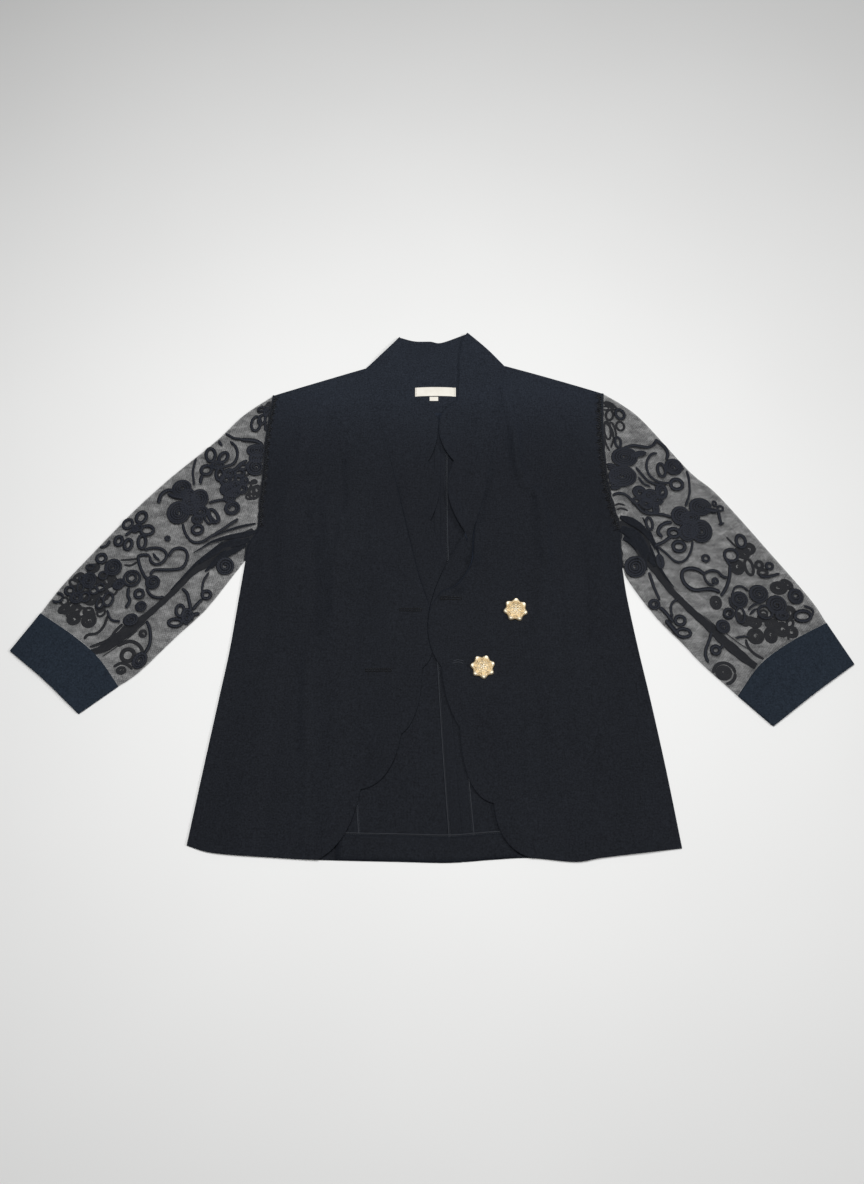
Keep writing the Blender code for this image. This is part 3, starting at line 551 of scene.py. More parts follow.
def cut_edge(away):
    """How far a free edge of suiting is rounded off, at a distance from it."""
    return rounded(EDGE_DROP, away, EDGE_RADIUS)


# %% [markdown]
# ## Materials
# Each one starts from what the real cloth, thread or metal is. One function adds a node and links it.

# %% Material helpers
def colour(code):
    """sRGB hex to linear: c / 12.92 below 0.04045, and ((c + 0.055) / 1.055) to the power 2.4 above."""
    channels = np.array([int(code[i:i + 2], 16) for i in (1, 3, 5)]) / 255
    linear = np.where(channels <= 0.04045, channels / 12.92, ((channels + 0.055) / 1.055) ** 2.4)
    return (*linear.tolist(), 1.0)


def add_node(material, kind, inputs=None, **properties):
    """One node: properties go on the node. An input is linked if it is a socket and set if not."""
    made = material.node_tree.nodes.new(kind)
    for name, value in properties.items():
        setattr(made, name, value)
    for key, value in (inputs or {}).items():
        if isinstance(value, bpy.types.NodeSocket):
            material.node_tree.links.new(value, made.inputs[key])
        else:
            made.inputs[key].default_value = value
    return made


def new_material(name):
    """A material with an empty node tree."""
    material = bpy.data.materials.new(name)
    material.use_nodes = True
    material.node_tree.nodes.clear()
    return material


def finish_material(material, inputs):
    """Adds the one shader, with these inputs, and the output."""
    shader = add_node(material, "ShaderNodeBsdfPrincipled", inputs)
    add_node(material, "ShaderNodeOutputMaterial", {"Surface": shader.outputs["BSDF"]})
    return material


def place_on(material):
    """Where a point is on its object, in metres."""
    return add_node(material, "ShaderNodeTexCoord").outputs["Object"]


def raised_on(material):
    """The number that mark_raised gave to the mesh."""
    return add_node(material, "ShaderNodeAttribute", attribute_name="raised").outputs["Fac"]


def calculated(material, operation, *values):
    """Result of one Math node."""
    return add_node(material, "ShaderNodeMath", dict(enumerate(values)), operation=operation).outputs[0]


def weighted(material, first, *others):
    """Sum of layers, each given with its weight."""
    total = calculated(material, "MULTIPLY", *first)
    for layer, weight in others:
        total = calculated(material, "MULTIPLY_ADD", layer, weight, total)
    return total


def remap(material, value, low, high, to_low=0.0, to_high=1.0):
    """Straight line from to_low at low to to_high at high, level beyond them."""
    ends = {"Value": value, "From Min": low, "From Max": high, "To Min": to_low, "To Max": to_high}
    return add_node(material, "ShaderNodeMapRange", ends).outputs["Result"]


def blend(material, factor, dark, light):
    """Mix of two colours given as sRGB hex."""
    ends = {"Factor": factor, "A": colour(dark), "B": colour(light)}
    return add_node(material, "ShaderNodeMix", ends, data_type="RGBA").outputs["Result"]


def noise(material, place, scale, **settings):
    inputs = {"Vector": place, "Scale": scale, **settings}
    return add_node(material, "ShaderNodeTexNoise", inputs).outputs["Fac"]


def bands(material, place, scale, direction, **settings):
    """Sine bands across one direction."""
    return add_node(material, "ShaderNodeTexWave", {"Vector": place, "Scale": scale, **settings},
                    wave_type="BANDS", bands_direction=direction, wave_profile="SIN").outputs["Fac"]


def bumped(material, height, strength, depth):
    inputs = {"Height": height, "Strength": strength, "Distance": depth}
    return add_node(material, "ShaderNodeBump", inputs).outputs["Normal"]


def bands_scale(period_mm):
    """Scale of a Wave texture whose bands repeat at this many millimetres: it has 20 radians a unit."""
    return 2 * math.pi / (20 * period_mm * MM)


# %% [markdown]
# ### Suiting
# Polyester and viscose crepe suiting in plain weave, piece-dyed blue-black. Its threads are too fine
# for the picture, but their slubs are not: a thick place in a thread shows as a streak some 15 mm
# long and 1.5 mm wide, and there are as many along the cloth as across it. Two stretched noises
# draw these, a fine one draws the crepe's pebble, and a slow cloud stands for uneven dye and
# handling. It is matt, and its sheen gives a bluish bloom at grazing angles. Towards the shoulders a
# painted sheen is added: the colour is multiplied by up to 1.6 to 1.8, with the square of the way
# up, as a painted highlight where the cloth catches the light at a grazing angle.

# %% Suiting
# Painted sheen: the colour factor that paints the shoulders' highlight at a grazing angle.
PAINTED_SHEEN_TINT = (1.62, 1.74, 1.84, 1)
PAINTED_SHEEN_FROM, PAINTED_SHEEN_TO = 0.1, 0.24  # metres up the garment


def slubs(material, place, stretch):
    """Noise whose patches are drawn out along one axis: the place is divided less along it than
    across it."""
    drawn = add_node(material, "ShaderNodeMapping", {"Vector": place, "Scale": stretch}).outputs[0]
    return noise(material, drawn, 1.0, Detail=2.0, Roughness=0.6)


def suiting(name, ground, light):
    material = new_material(name)
    place = place_on(material)
    grain = weighted(
        material,
        (slubs(material, place, (90, 620, 300)), 0.22), (slubs(material, place, (620, 90, 300)), 0.22),
        (slubs(material, place, (560, 560, 560)), 1.0), (slubs(material, place, (9, 9, 9)), 0.16),
    )
    shade = blend(material, remap(material, grain, 0.46, 1.14), ground, light)
    # Painted highlight towards the shoulders: the higher up, the more the colour is multiplied.
    up = add_node(material, "ShaderNodeSeparateXYZ", {"Vector": place}).outputs["Y"]
    painted_sheen_share = calculated(material, "POWER", remap(material, up, PAINTED_SHEEN_FROM, PAINTED_SHEEN_TO), 2.0)
    shade = add_node(material, "ShaderNodeMix", {"Factor": painted_sheen_share, "A": shade, "B": PAINTED_SHEEN_TINT},
                     data_type="RGBA", blend_type="MULTIPLY").outputs["Result"]
    return finish_material(material, {
        "Base Color": shade, "Roughness": 0.85, "IOR": 1.45, "Specular IOR Level": 0.15,
        "Sheen Weight": 0.14, "Sheen Roughness": 0.5, "Sheen Tint": colour("#7F92B8"),
        "Normal": bumped(material, grain, 0.5, 0.0004),
    })


SUITING = suiting("suiting_crepe_blue_black", "#0A0B0F", "#22252B")
# The cuffs' copy of the suiting is lighter and bluer: painted sheen where they catch the light.
CUFF_SUITING_PAINTED_SHEEN = suiting("cuff_crepe_blue_black_painted_sheen", "#10161D", "#29323D")

# %% [markdown]
# ### Net
# Nylon tulle: a soft net of fine black thread with openings of 1 to 2 mm, through which about two
# thirds of the light passes. Three sets of bands at 60 degrees draw its mesh, a little coarse. A
# speckle stands for mesh that has slipped, drawn-out clouds for the soft wrinkles along the sleeve,
# and both make it denser here and there, as net that has been handled is.

# %% Net
NET_MESH_MM = 2.2
NET_TURNS = (40, 100, 160)


def tulle(name, fibre, open_share, dense_share):
    material = new_material(name)
    place = place_on(material)
    threads = 0.0
    for turn in NET_TURNS:
        aligned = add_node(material, "ShaderNodeMapping",
                           {"Vector": place, "Rotation": (0, 0, math.radians(turn))}).outputs[0]
        band = bands(material, aligned, bands_scale(NET_MESH_MM), "X", Distortion=0.8)
        threads = calculated(material, "MAXIMUM", threads, band)
    cover = weighted(
        material, (threads, 0.35),
        (slubs(material, place, (420, 420, 420)), 0.9), (slubs(material, place, (60, 130, 60)), 0.7),
    )
    return finish_material(material, {
        "Base Color": colour(fibre), "Roughness": 0.75, "IOR": 1.5, "Specular IOR Level": 0.3,
        "Sheen Weight": 0.1, "Alpha": remap(material, cover, 0.78, 1.42, open_share, dense_share),
    })


NET = tulle("tulle_black_nylon", "#2C2D30", 0.2, 0.57)

# %% [markdown]
# ### Threads
# Viscose embroidery cord is two plies twisted together. Slanted bands on the cord's own UV map give
# the twist as a bump and as painted shade in the grooves between the plies, and an attribute of the
# mesh makes its crown paler than its edges: a painted highlight on the crown and painted shade on
# its sides. The overlock thread is the same stuff, thinner and grey.

# %% Threads
def thread(name, dark, light, twist_mm, shine):
    material = new_material(name)
    along = add_node(material, "ShaderNodeUVMap", uv_map="thread").outputs["UV"]
    twist = bands(material, along, 2 * math.pi / 20 / twist_mm, "DIAGONAL")
    # Painted highlight on the cord's crown and painted shade on its sides, from the raised attribute.
    painted_crown_light = remap(material, raised_on(material), 0.75, 1.0, 0.0, 0.75)
    tone = calculated(material, "MULTIPLY_ADD", twist, 0.25, painted_crown_light)
    return finish_material(material, {
        "Base Color": blend(material, tone, dark, light), "Roughness": 0.6, "IOR": 1.5,
        "Specular IOR Level": shine, "Sheen Weight": 0.1,
        "Normal": bumped(material, twist, 0.6, 0.0004),
    })


# From dark to light: the range of each thread's painted shade and highlight.
CORD = thread("viscose_cord_black", "#030407", "#181D29", 1.6, 0.25)
OVERLOCK = thread("overlock_thread_grey", "#26292F", "#3E424A", 1.0, 0.3)
BUTTONHOLE_SILK = thread("buttonhole_thread_black", "#030406", "#090A0D", 0.8, 0.1)
LABEL_THREAD = thread("label_thread_beige", "#8F8878", "#B9B2A2", 0.8, 0.3)

# %% [markdown]
# ### Gilt casting and woven label
# The buttons are a zinc casting plated pale gold: metallic, fairly smooth, with darker patina in
# the hollows, which an attribute of the mesh marks. The label is a satin tape of cream polyester
# with fine ribs across it.

# %% Casting and label
def gilt(name):
    material = new_material(name)
    wear = noise(material, place_on(material), 700.0, Detail=3.0)
    tone = calculated(material, "MULTIPLY_ADD", wear, 0.3, raised_on(material))
    tone = remap(material, tone, 0.15, 0.85)
    return finish_material(material, {
        "Base Color": blend(material, tone, "#CDB487", "#F6EAD0"), "Metallic": 0.85,
        "Roughness": remap(material, tone, 0.0, 1.0, 0.62, 0.48),
        "Normal": bumped(material, wear, 0.05, 0.0002),
    })


def satin_tape(name):
    material = new_material(name)
    place = place_on(material)
    ribs = bands(material, place, bands_scale(0.9), "Y")
    mixed = calculated(material, "MULTIPLY_ADD", ribs, 0.4, noise(material, place, 160.0, Detail=2.0))
    return finish_material(material, {
        "Base Color": blend(material, mixed, "#D9D3C6", "#F0ECE2"), "Roughness": 0.55, "IOR": 1.5,
        "Sheen Weight": 0.15, "Normal": bumped(material, ribs, 0.25, 0.0002),
    })


GILT = gilt("gilt_zinc_casting")
TAPE = satin_tape("satin_tape_cream")

# %% [markdown]
# ## Backs
# The back lies flat on the floor, inside up. Its two halves meet at the centre seam, whose
# allowances are pressed open, and its hem is turned up inside. Only the floor's levelness shows in
# it, so its upper face is even but for a slight ripple.

# %% Backs
SEAM_GAP, CENTRE_GAP = 0.3, 0.02
BACK_WIDTH, BACK_COLUMNS, BACK_ROWS = 220, 40, 110
BACK_EDGE_RADIUS = 1.2
RIPPLE_REACH = 20
RIPPLE = [
    Fold(0.25, 22, [(-60, 160), (-30, 20), (-50, -120)]),
    Fold(0.25, 20, [(60, 180), (50, 40), (80, -90)]),
    Fold(0.2, 16, [(-30, -180), (10, -260)]), Fold(0.2, 16, [(50, -230), (70, -300)]),
]
CUT_SPARE = 1.01
BACK_TURNED, FRONT_TURNED, COLLAR_TURNED = 0.09, 0.12, 0.2
sheets = []


def declare(piece, points, faces, turned):
    """States the flat cut: its plan with the turned share added, in the box that it was cut from."""
    area = plan_area(points, faces) * (1 + turned)
    size = np.ptp(points[:, :2], axis=0) * MM
    grow = max(1.0, area / (size[0] * size[1])) ** 0.5 * CUT_SPARE
    width, length = (float(s * grow) for s in size)
    sheets.append((piece.name, round(width, 3), round(length, 3), round(area, 4)))


def back_shell(side):
    """Half of the back, 1.1 mm high, with its lower edge rounded."""
    seam = smooth_curve(CENTRE_BACK) + (OUTWARD[side] * CENTRE_GAP, 0)
    top = join(shoulder_line(side)[::-1], neck_line(side))
    top[-1] = seam[0]
    outer = join(armhole_line(side), side_line(side))
    plan = patch(top, hem_line(side, seam[-1]), outer, seam,
                 edge_shares(BACK_WIDTH, BACK_COLUMNS), edge_shares(length_of(outer), BACK_ROWS))
    rim = distance(plan, join(top[::-1], outer, hem_line(side, seam[-1])))
    level = BACK_TOP + relief(plan, RIPPLE) * ease(rim / RIPPLE_REACH)
    return thin_shell(plan, level, rounded(EDGE_DROP, rim, BACK_EDGE_RADIUS))


backs = {}
for side in SIDES:
    points, faces = back_shell(side)
    backs[side] = make_piece(f"back_{side}_cloth", points, faces, SUITING, "suiting")
    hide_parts(f"back_{side}")
    declare(backs[side], points, faces, BACK_TURNED)
print("backs", {side: len(piece.data.polygons) for side, piece in backs.items()})

# %% [markdown]
# ## Fronts
# A front runs from the shoulder to the hem, between the side seam and the scalloped edge. The
# seams pull its edge down on the back, so there its upper face rolls down. Its free edge is
# rounded, and along the lapel seam it dips into the seam.

# %% Fronts
SEAM_LOW = 1.35  # upper face where a seam holds the front down on the back
ROLL = 3.2
FRONT_WIDTH, FRONT_COLUMNS, FRONT_STEP = 200, 62, 4.0
FRONT_CLEAR = 0.06  # between a front's underside and the back
DIP, DIP_MORE, DIP_WIDTH = 0.15, 0.6, 1.8  # along the lapel seam, with more added lower down
DIP_FROM_Y, DIP_FADE = 200, 140
TURN_IN = 2.6  # width over which the left front's ridge turns down into the lapel seam
TURN_FROM_Y, TURN_FADE = 60, 14
STITCH_DIP, STITCH_FROM_SEAM, STITCH_WIDTH = 0.35, 6.0, 1.3  # groove beside the armhole
STITCH_ENDS = 4  # distance at which the groove stops before the shoulder and side seams


def seam_dip(plan, side):
    """How far the cloth dips into the lapel seam: 0.15 mm from y = 200 up, and 0.75 mm from 60 down."""
    deep = DIP + DIP_MORE * ease((DIP_FROM_Y - plan[..., 1]) / DIP_FADE)
    return deep * rounded(1.0, distance(plan, lapel_seam(side)), DIP_WIDTH)


def front_plan(side):
    """The front's Coons patch: shoulder, hem, outer line, and lapel seam with front edge."""
    seam = beside(lapel_seam(side), OUTWARD[side] * 0.04)
    seam[0], seam[-1] = NECK[side], front_edge(side)[0]
    inner = join(seam, front_edge(side))
    outer = join(armhole_line(side), side_line(side))
    return patch(shoulder_line(side)[::-1], hem_line(side, inner[-1]), outer, inner,
                 edge_shares(FRONT_WIDTH, FRONT_COLUMNS), line_shares(inner, FRONT_STEP))


def front_shell(side):
    plan = front_plan(side)
    held = distance(plan, HELD[side])
    free = distance(plan, join(front_edge(side), hem_line(side, front_edge(side)[-1])[::-1]))
    armhole = distance(plan, armhole_line(side))
    groove = STITCH_DIP * np.exp(-(((armhole - STITCH_FROM_SEAM) / STITCH_WIDTH) ** 2))
    full = front_top(plan, side) - groove * (held > STITCH_ENDS)
    top = full - rounded(1.0, held, ROLL) * (full - SEAM_LOW)
    top = top - cut_edge(free) - seam_dip(plan, side)
    if side == "left":
        turned_in = rounded(1.0, distance(plan, lapel_seam(side)), TURN_IN)
        turned_in = turned_in * ease((TURN_FROM_Y - plan[..., 1]) / TURN_FADE)
        top = top - turned_in * relief(plan, LAPEL_RIDGE)
    bottom = np.maximum(full - CLOTH_WALL + cut_edge(free), BACK_TOP + FRONT_CLEAR)
    return thin_shell(plan, top, np.minimum(bottom, top - LEAST_WALL))


fronts = {}
for side in SIDES:
    points, faces = front_shell(side)
    fronts[side] = make_piece(f"front_{side}_cloth", points, faces, SUITING, "suiting")
    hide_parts(f"front_{side}")
    declare(fronts[side], points, faces, FRONT_TURNED)
print("fronts", {side: len(piece.data.polygons) for side, piece in fronts.items()})

# %% [markdown]
# ## Shawl collar
# The collar's band lies inside up behind the neck. At both sides it folds over and runs down the
# fronts as a lapel with the scalloped edge. The fold is round: as a quarter ellipse, the lapel's
# upper face drops to 0.5 mm above the floor there, and the band ends just inside it.

# %% Collar
COLLAR_ROLL = 1.6
ROLL_REACH = 16.0
ROLL_START = 30.0
FOLD_LOW = 0.5
LAPEL_WIDTH, LAPEL_COLUMNS, LAPEL_STEP = 62, 16, 5.0
LAPEL_END = 0.01  # width of its lower end
FINE_REACH = 40  # the fine creases fade over this distance towards the collar's fold
BAND_INSET, BAND_INSET_REACH = 1.4, 8
BAND_SIZE, BAND_CELLS = (100, 70), (40, 24)
BAND_GAP = 0.5  # from the neck seam
BAND_LIES, BAND_PUFF, BAND_REACH = 0.08, 0.25, 14
BAND_CENTRE = np.array([5.0, 300.0])
BAND_FOLD = Fold(0.3, 9, [(-30, 300), (30, 296)])
PRESSED_FROM_Y, PRESSED_FADE = 256, 16  # above, the right lapel's edge is pressed into the band
PRESSED_REACH = 9
PRESSED_LIES = 0.1  # above the back
FOLD_SPARED = 6  # the press fades this near to the collar's fold


def lapel_shell(side):
    edge = lapel_edge(side)
    tip = np.repeat(edge[-1:], 2, axis=0) + ((0, 0), (LAPEL_END, 0))
    plan = patch(fold_line(side), tip, lapel_seam(side), edge,
                 edge_shares(LAPEL_WIDTH, LAPEL_COLUMNS), line_shares(edge, LAPEL_STEP))
    fold = distance(plan, fold_line(side))
    grown = ease(np.linalg.norm(plan - NECK[side], axis=-1) / ROLL_START)
    roll = COLLAR_ROLL * grown * np.exp(-((fold / ROLL_REACH) ** 2))
    full = drape(plan, side) + roll + SOLID_WALL
    full = full + relief(plan, FINE_FOLDS[side]) * ease(fold / FINE_REACH)
    full = full + relief(plan, LAPEL_LIFT[side])
    rim = distance(plan, edge)
    top = full - rounded(1.0, fold, ROLL) * (full - FOLD_LOW)
    top = top - cut_edge(rim) - seam_dip(plan, side)
    bottom = full - CLOTH_WALL + cut_edge(rim)
    bottom = bottom - rounded(1.0, fold, ROLL) * (bottom - FOLD_LOW)
    if side == "right":
        sunk = ease((plan[..., 1] - PRESSED_FROM_Y) / PRESSED_FADE)
        sunk = sunk * np.exp(-((rim / PRESSED_REACH) ** 2)) * ease(fold / FOLD_SPARED)
        top = top + sunk * (BACK_TOP + PRESSED_LIES - top)
    return thin_shell(plan, top, np.minimum(bottom, top - LEAST_WALL))


def band_shell():
    """The band behind the neck, from the collar's top edge to the neck seam."""
    top = smooth_curve([PEAK["right"], *COLLAR_TOP, PEAK["left"]])
    neck = join(neck_line("right"), neck_line("left")[::-1]) - (0, BAND_GAP)
    folds = {side: fold_line(side)[::-1] for side in SIDES}
    cells = [edge_shares(length, count) for length, count in zip(BAND_SIZE, BAND_CELLS)]
    plan = patch(top, neck, folds["right"], folds["left"], *cells)
    fold = np.minimum(distance(plan, folds["right"]), distance(plan, folds["left"]))
    toward = BAND_CENTRE - plan
    toward /= np.linalg.norm(toward, axis=-1, keepdims=True)
    plan = plan + toward * (BAND_INSET * np.exp(-fold / BAND_INSET_REACH))[..., None]
    rim = distance(plan, top)
    level = BACK_TOP + BAND_LIES + BAND_PUFF * ease(rim / BAND_REACH) + relief(plan, [BAND_FOLD])
    return thin_shell(plan, level - cut_edge(rim), cut_edge(rim))


points, faces = combine([lapel_shell("right"), lapel_shell("left"), band_shell()])
collar = make_piece("collar_cloth", points, faces, SUITING, "suiting")
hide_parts("collar")
declare(collar, points, faces,
        COLLAR_TURNED)
print("collar", len(collar.data.polygons))

# %% [markdown]
# ## Sleeves of net
# A sleeve is a tube that has been pressed flat: one closed loop of net, swept from the armhole to
# the cuff. Across the loop a share s runs from the upper fold to the lower one and back, with
# steps that shrink towards the folds as (1 - cos) / 2. The loop's height is that of the upper or
# the lower layer, brought together at the folds as a quarter ellipse.

# %% Outlines of the sleeves and cuffs
SLEEVE_TOP = {
    "right": [(-238, 210), (-269, 174), (-319, 125), (-358, 82), (-401, 27), (-434, -17), (-456, -53)],
    "left": [(244, 225), (268.5, 201), (319, 132), (352, 98), (410, 16), (446, -37), (460, -65)],
}
SLEEVE_UNDER = {
    "right": [(-234, -5), (-263, -48), (-292, -79), (-312, -101), (-328.5, -119.5), (-341.5, -131.5),
              (-355, -141)],
    "left": [(234, -14), (262.5, -58.5), (290, -90), (306, -110), (322, -127), (335, -140),
             (347, -152)],
}
CUFF_SEAM = {
    "right": [(-456, -53), (-412, -82), (-382, -107), (-355, -141)],
    "left": [(460, -65), (412, -90), (377, -115), (347, -152)],
}
CUFF_END = {
    "right": [(-485, -99), (-440, -134), (-396, -173)],
    "left": [(485, -115), (435, -149), (383, -187)],
}

# %% Heights and folds of the net
SLEEVE_CUT = (0.43, 0.42)  # all round at the armhole, and along the upper fold, in metres
ARMHOLE_GAP = 0.4
NET_TOP = 2.5
NET_PUFF = 1.1
NET_REACH = 26.0
NET_LOW = 1.0
NET_FOLD = 1.6  # height of the two folds
NET_ROLL = 3.0
NET_COLUMNS, NET_ROWS = 56, 84
NET_FOLDS = {
    "right": [
        Fold(1.7, 8, [(-216, 60), (-262, 36)]), Fold(1.6, 7, [(-222, 44), (-252, 8)]),
        Fold(1.0, 14, [(-250, 150), (-330, 70)]), Fold(1.4, 9, [(-300, -20), (-372, -84)]),
        Fold(1.1, 3, [(-212, 66), (-236, 66), (-262, 52)]),
        Fold(-0.9, 3, [(-214, 54), (-238, 50), (-258, 40)]),
        Fold(1.3, 3, [(-214, 46), (-234, 36), (-250, 20)]),
        Fold(1.0, 3, [(-220, 36), (-232, 18), (-240, -2)]),
        Fold(0.6, 4, [(-268, 176), (-300, 130), (-334, 104)]),
        Fold(-0.5, 5, [(-330, 60), (-370, 20), (-396, 6)]),
    ],
    "left": [
        Fold(1.7, 8, [(230, 76), (256, 52)]), Fold(1.6, 7, [(236, 60), (250, 14)]),
        Fold(1.0, 14, [(262, 160), (336, 60)]), Fold(1.4, 9, [(290, -30), (352, -100)]),
        Fold(1.1, 3, [(228, 74), (244, 78), (262, 66)]),
        Fold(-0.9, 3, [(230, 62), (246, 54), (256, 40)]),
        Fold(1.3, 3, [(232, 48), (244, 30), (248, 10)]),
        Fold(1.0, 3, [(228, 96), (246, 92), (266, 78)]),
        Fold(0.6, 4, [(270, 186), (300, 150), (322, 124)]),
        Fold(-0.5, 5, [(340, 60), (372, 24), (404, 0)]),
    ],
}


# %% Sleeves
def sleeve_lines(side):
    """Armhole, upper fold, lower fold and cuff seam of a sleeve."""
    armhole = beside(armhole_line(side), OUTWARD[side] * ARMHOLE_GAP)
    upper = smooth_curve([armhole[0], *SLEEVE_TOP[side]])
    under = smooth_curve([armhole[-1], *SLEEVE_UNDER[side]])
    return armhole, upper, under, smooth_curve(CUFF_SEAM[side])


def net_top(places, side):
    """Height of the net's upper layer: it rises from its two folds and the armhole to a puff."""
    armhole, upper, under, _ = sleeve_lines(side)
    fold = np.minimum(distance(places, upper), distance(places, under))
    held = np.minimum(fold, distance(places, armhole))
    return NET_TOP + ease(held / NET_REACH) * (NET_PUFF + relief(places, NET_FOLDS[side]))


def pressed_tube(side, plan, high, low):
    """One loop of cloth, out over the upper layer and back over the lower one: points and faces."""
    loop_plan = np.concatenate([plan, plan[:, -2:0:-1]], axis=1)
    loop_height = np.concatenate([high, low[:, -2:0:-1]], axis=1)
    faces = grid_faces(*loop_height.shape, wrap=True)
    points = np.dstack([loop_plan, loop_height]).reshape(-1, 3)
    return points, faces if side == "right" else faces[:, ::-1]


def declare_tube(piece, points, faces, cut):
    """States the flat cut of a pressed tube: the plan of both its layers, in the box of its round."""
    area = 2 * abs(plan_area(points, faces))
    sheets.append((piece.name, *cut, round(area, 4)))


def loop_shares(count):
    """Shares from 0 to 1 whose steps shrink towards both ends."""
    return 0.5 - 0.5 * np.cos(np.linspace(0, math.pi, count))


def net_tube(side):
    armhole, upper, under, cuff = sleeve_lines(side)
    plan = patch(armhole, cuff, upper, under,
                 loop_shares(NET_COLUMNS), edge_shares(length_of(upper), NET_ROWS))
    closing = rounded(1.0, np.minimum(distance(plan, upper), distance(plan, under)), NET_ROLL)
    high = net_top(plan, side)
    high = high + (NET_FOLD - high) * closing
    return pressed_tube(side, plan, high, NET_LOW + (NET_FOLD - NET_LOW) * closing)


sleeves = {}
for side in SIDES:
    points, faces = net_tube(side)
    sleeves[side] = make_piece(f"sleeve_{side}_net", points, faces, NET, "net")
    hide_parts(f"sleeve_{side}")
    declare_tube(sleeves[side], points, faces, SLEEVE_CUT)
print("sleeves", {side: len(piece.data.polygons) for side, piece in sleeves.items()})

# %% [markdown]
# ## Cords
# Embroidery cord, overlock thread and buttonhole thread are all one shape: a flattened round
# section carried along a line. The section has a half width and a half height. At both ends it
# shrinks to a third, and one face closes it.

# %% Cords
Cord = namedtuple("Cord", "line closed width")


def cord_at(line, height, width, closed=False):
    """A cord along a line, at one height or at a height for each point."""
    return Cord(np.column_stack([line, np.broadcast_to(height, len(line))]), closed, width)


CORD_END = (0.35, 0.85)  # size of the section at a cord's end and at the point before it


def swept(line, half_width, half_height, sides, closed):
    """Ring of points at angle a round each point of the line: centre + across times half width times
    cos a + up times half height times sin a. Returns points, faces and the thread's UV."""
    if closed:
        along = np.roll(line, -1, axis=0) - np.roll(line, 1, axis=0)
    else:
        along = np.gradient(line, axis=0)
    across = np.column_stack([-along[:, 1], along[:, 0], np.zeros(len(line))])
    across /= np.maximum(np.linalg.norm(across, axis=1), 1e-9)[:, None]
    size = np.ones(len(line))
    if not closed:
        size[[0, -1]], size[[1, -2]] = CORD_END
    angle = np.arange(sides) * 2 * math.pi / sides - math.pi / 2
    sideways = size[:, None] * half_width * np.cos(angle)
    ring = line[:, None, :] + across[:, None, :] * sideways[..., None]
    ring[..., 2] += size[:, None] * half_height * np.sin(angle)
    walked = np.concatenate([[0.0], np.cumsum(np.linalg.norm(np.diff(line, axis=0), axis=1))])
    around = np.arange(sides) * 2 * (half_width + half_height) / sides
    uv = np.stack(np.broadcast_arrays(walked[:, None], around[None]), axis=-1).reshape(-1, 2)
    count = len(line)
    index = np.arange(count * sides).reshape(count, sides)
    index = np.hstack([index, index[:, :1]])
    if closed:
        index = np.vstack([index, index[:1]])
    faces = np.stack([index[:-1, :-1], index[:-1, 1:], index[1:, 1:], index[1:, :-1]], axis=-1)
    faces = faces.reshape(-1, 4).tolist()
    if not closed:
        faces += [index[0, -2::-1].tolist(), index[-1, :-1].tolist()]
    return ring.reshape(-1, 3), faces, uv


def cord_piece(name, cords, half_height, material, slot, sides=6):
    """Many cords as one mesh, whose points are marked as raised 0 at the bottom and 1 on the crown,
    which the thread materials read to paint shade on the sides and a highlight on the crown.
    """
    parts, maps = [], []
    for line, closed, width in cords:
        points, faces, uv = swept(line, width / 2, half_height, sides, closed)
        parts.append((points, faces))
        maps.append(uv)
    piece = make_piece(name, *combine(parts), material, slot, uv=np.vstack(maps), merge=False)
    rise = 0.5 - 0.5 * np.cos(np.arange(sides) * 2 * math.pi / sides)
    mark_raised(piece, np.tile(rise, len(piece.data.vertices) // sides))
    return piece


# %% [markdown]
# ## Embroidery
# The pattern is of ordinary flowers, leaves and scrolls. Their places were judged and each is drawn
# here from one of three formulas: a filled petal is one cord coiled from its rim to its hole, a loop
# is one cord round an ellipse, and a stem is a cord along a smooth curve. Half sizes run to the outer
# side of the cord. Each row of the tables holds what its formula takes, in the same order. What is
# on the lower layer of net shows through the upper one.

# %% Motifs
COIL_PITCH = 3.2
COIL_CORD = 3.5


def rotated(shape, x, y, turn):
    """A shape round the origin turned by turn degrees and moved to x, y."""
    a = math.radians(turn)
    matrix = np.array([[math.cos(a), math.sin(a)], [-math.sin(a), math.cos(a)]])
    return shape @ matrix + (x, y)


def petal_cord(x, y, long, short, hole=0.1, turn=0):
    """A spiral: its radius shrinks by one pitch a turn, from the ellipse to the hole's share of it."""
    long, short = long - COIL_CORD / 2, short - COIL_CORD / 2
    turns = max(1.0, (1 - hole) * max(long, short) / COIL_PITCH)
    t = np.linspace(0, 1, int(turns * 18) + 8)
    radius = 1 - (1 - hole) * np.clip((t * (turns + 1) - 1) / turns, 0, 1)
    angle = 2 * math.pi * (turns + 1) * t
    spiral = np.column_stack([long * radius * np.cos(angle), short * radius * np.sin(angle)])
    return Cord(rotated(spiral, x, y, turn), False, COIL_CORD)


def loop_cord(x, y, long, short, cord, turn=0):
    long, short = long - cord / 2, short - cord / 2
    t = np.linspace(0, 2 * math.pi, max(12, int((long + short) * 2)), endpoint=False)
    ring = np.column_stack([long * np.cos(t), short * np.sin(t)])
    return Cord(rotated(ring, x, y, turn), True, cord)


def stem_cord(cord, places):
    return Cord(smooth_curve(places, 6), False, cord)


DRAWN = {"petals": petal_cord, "loops": loop_cord, "stems": stem_cord}

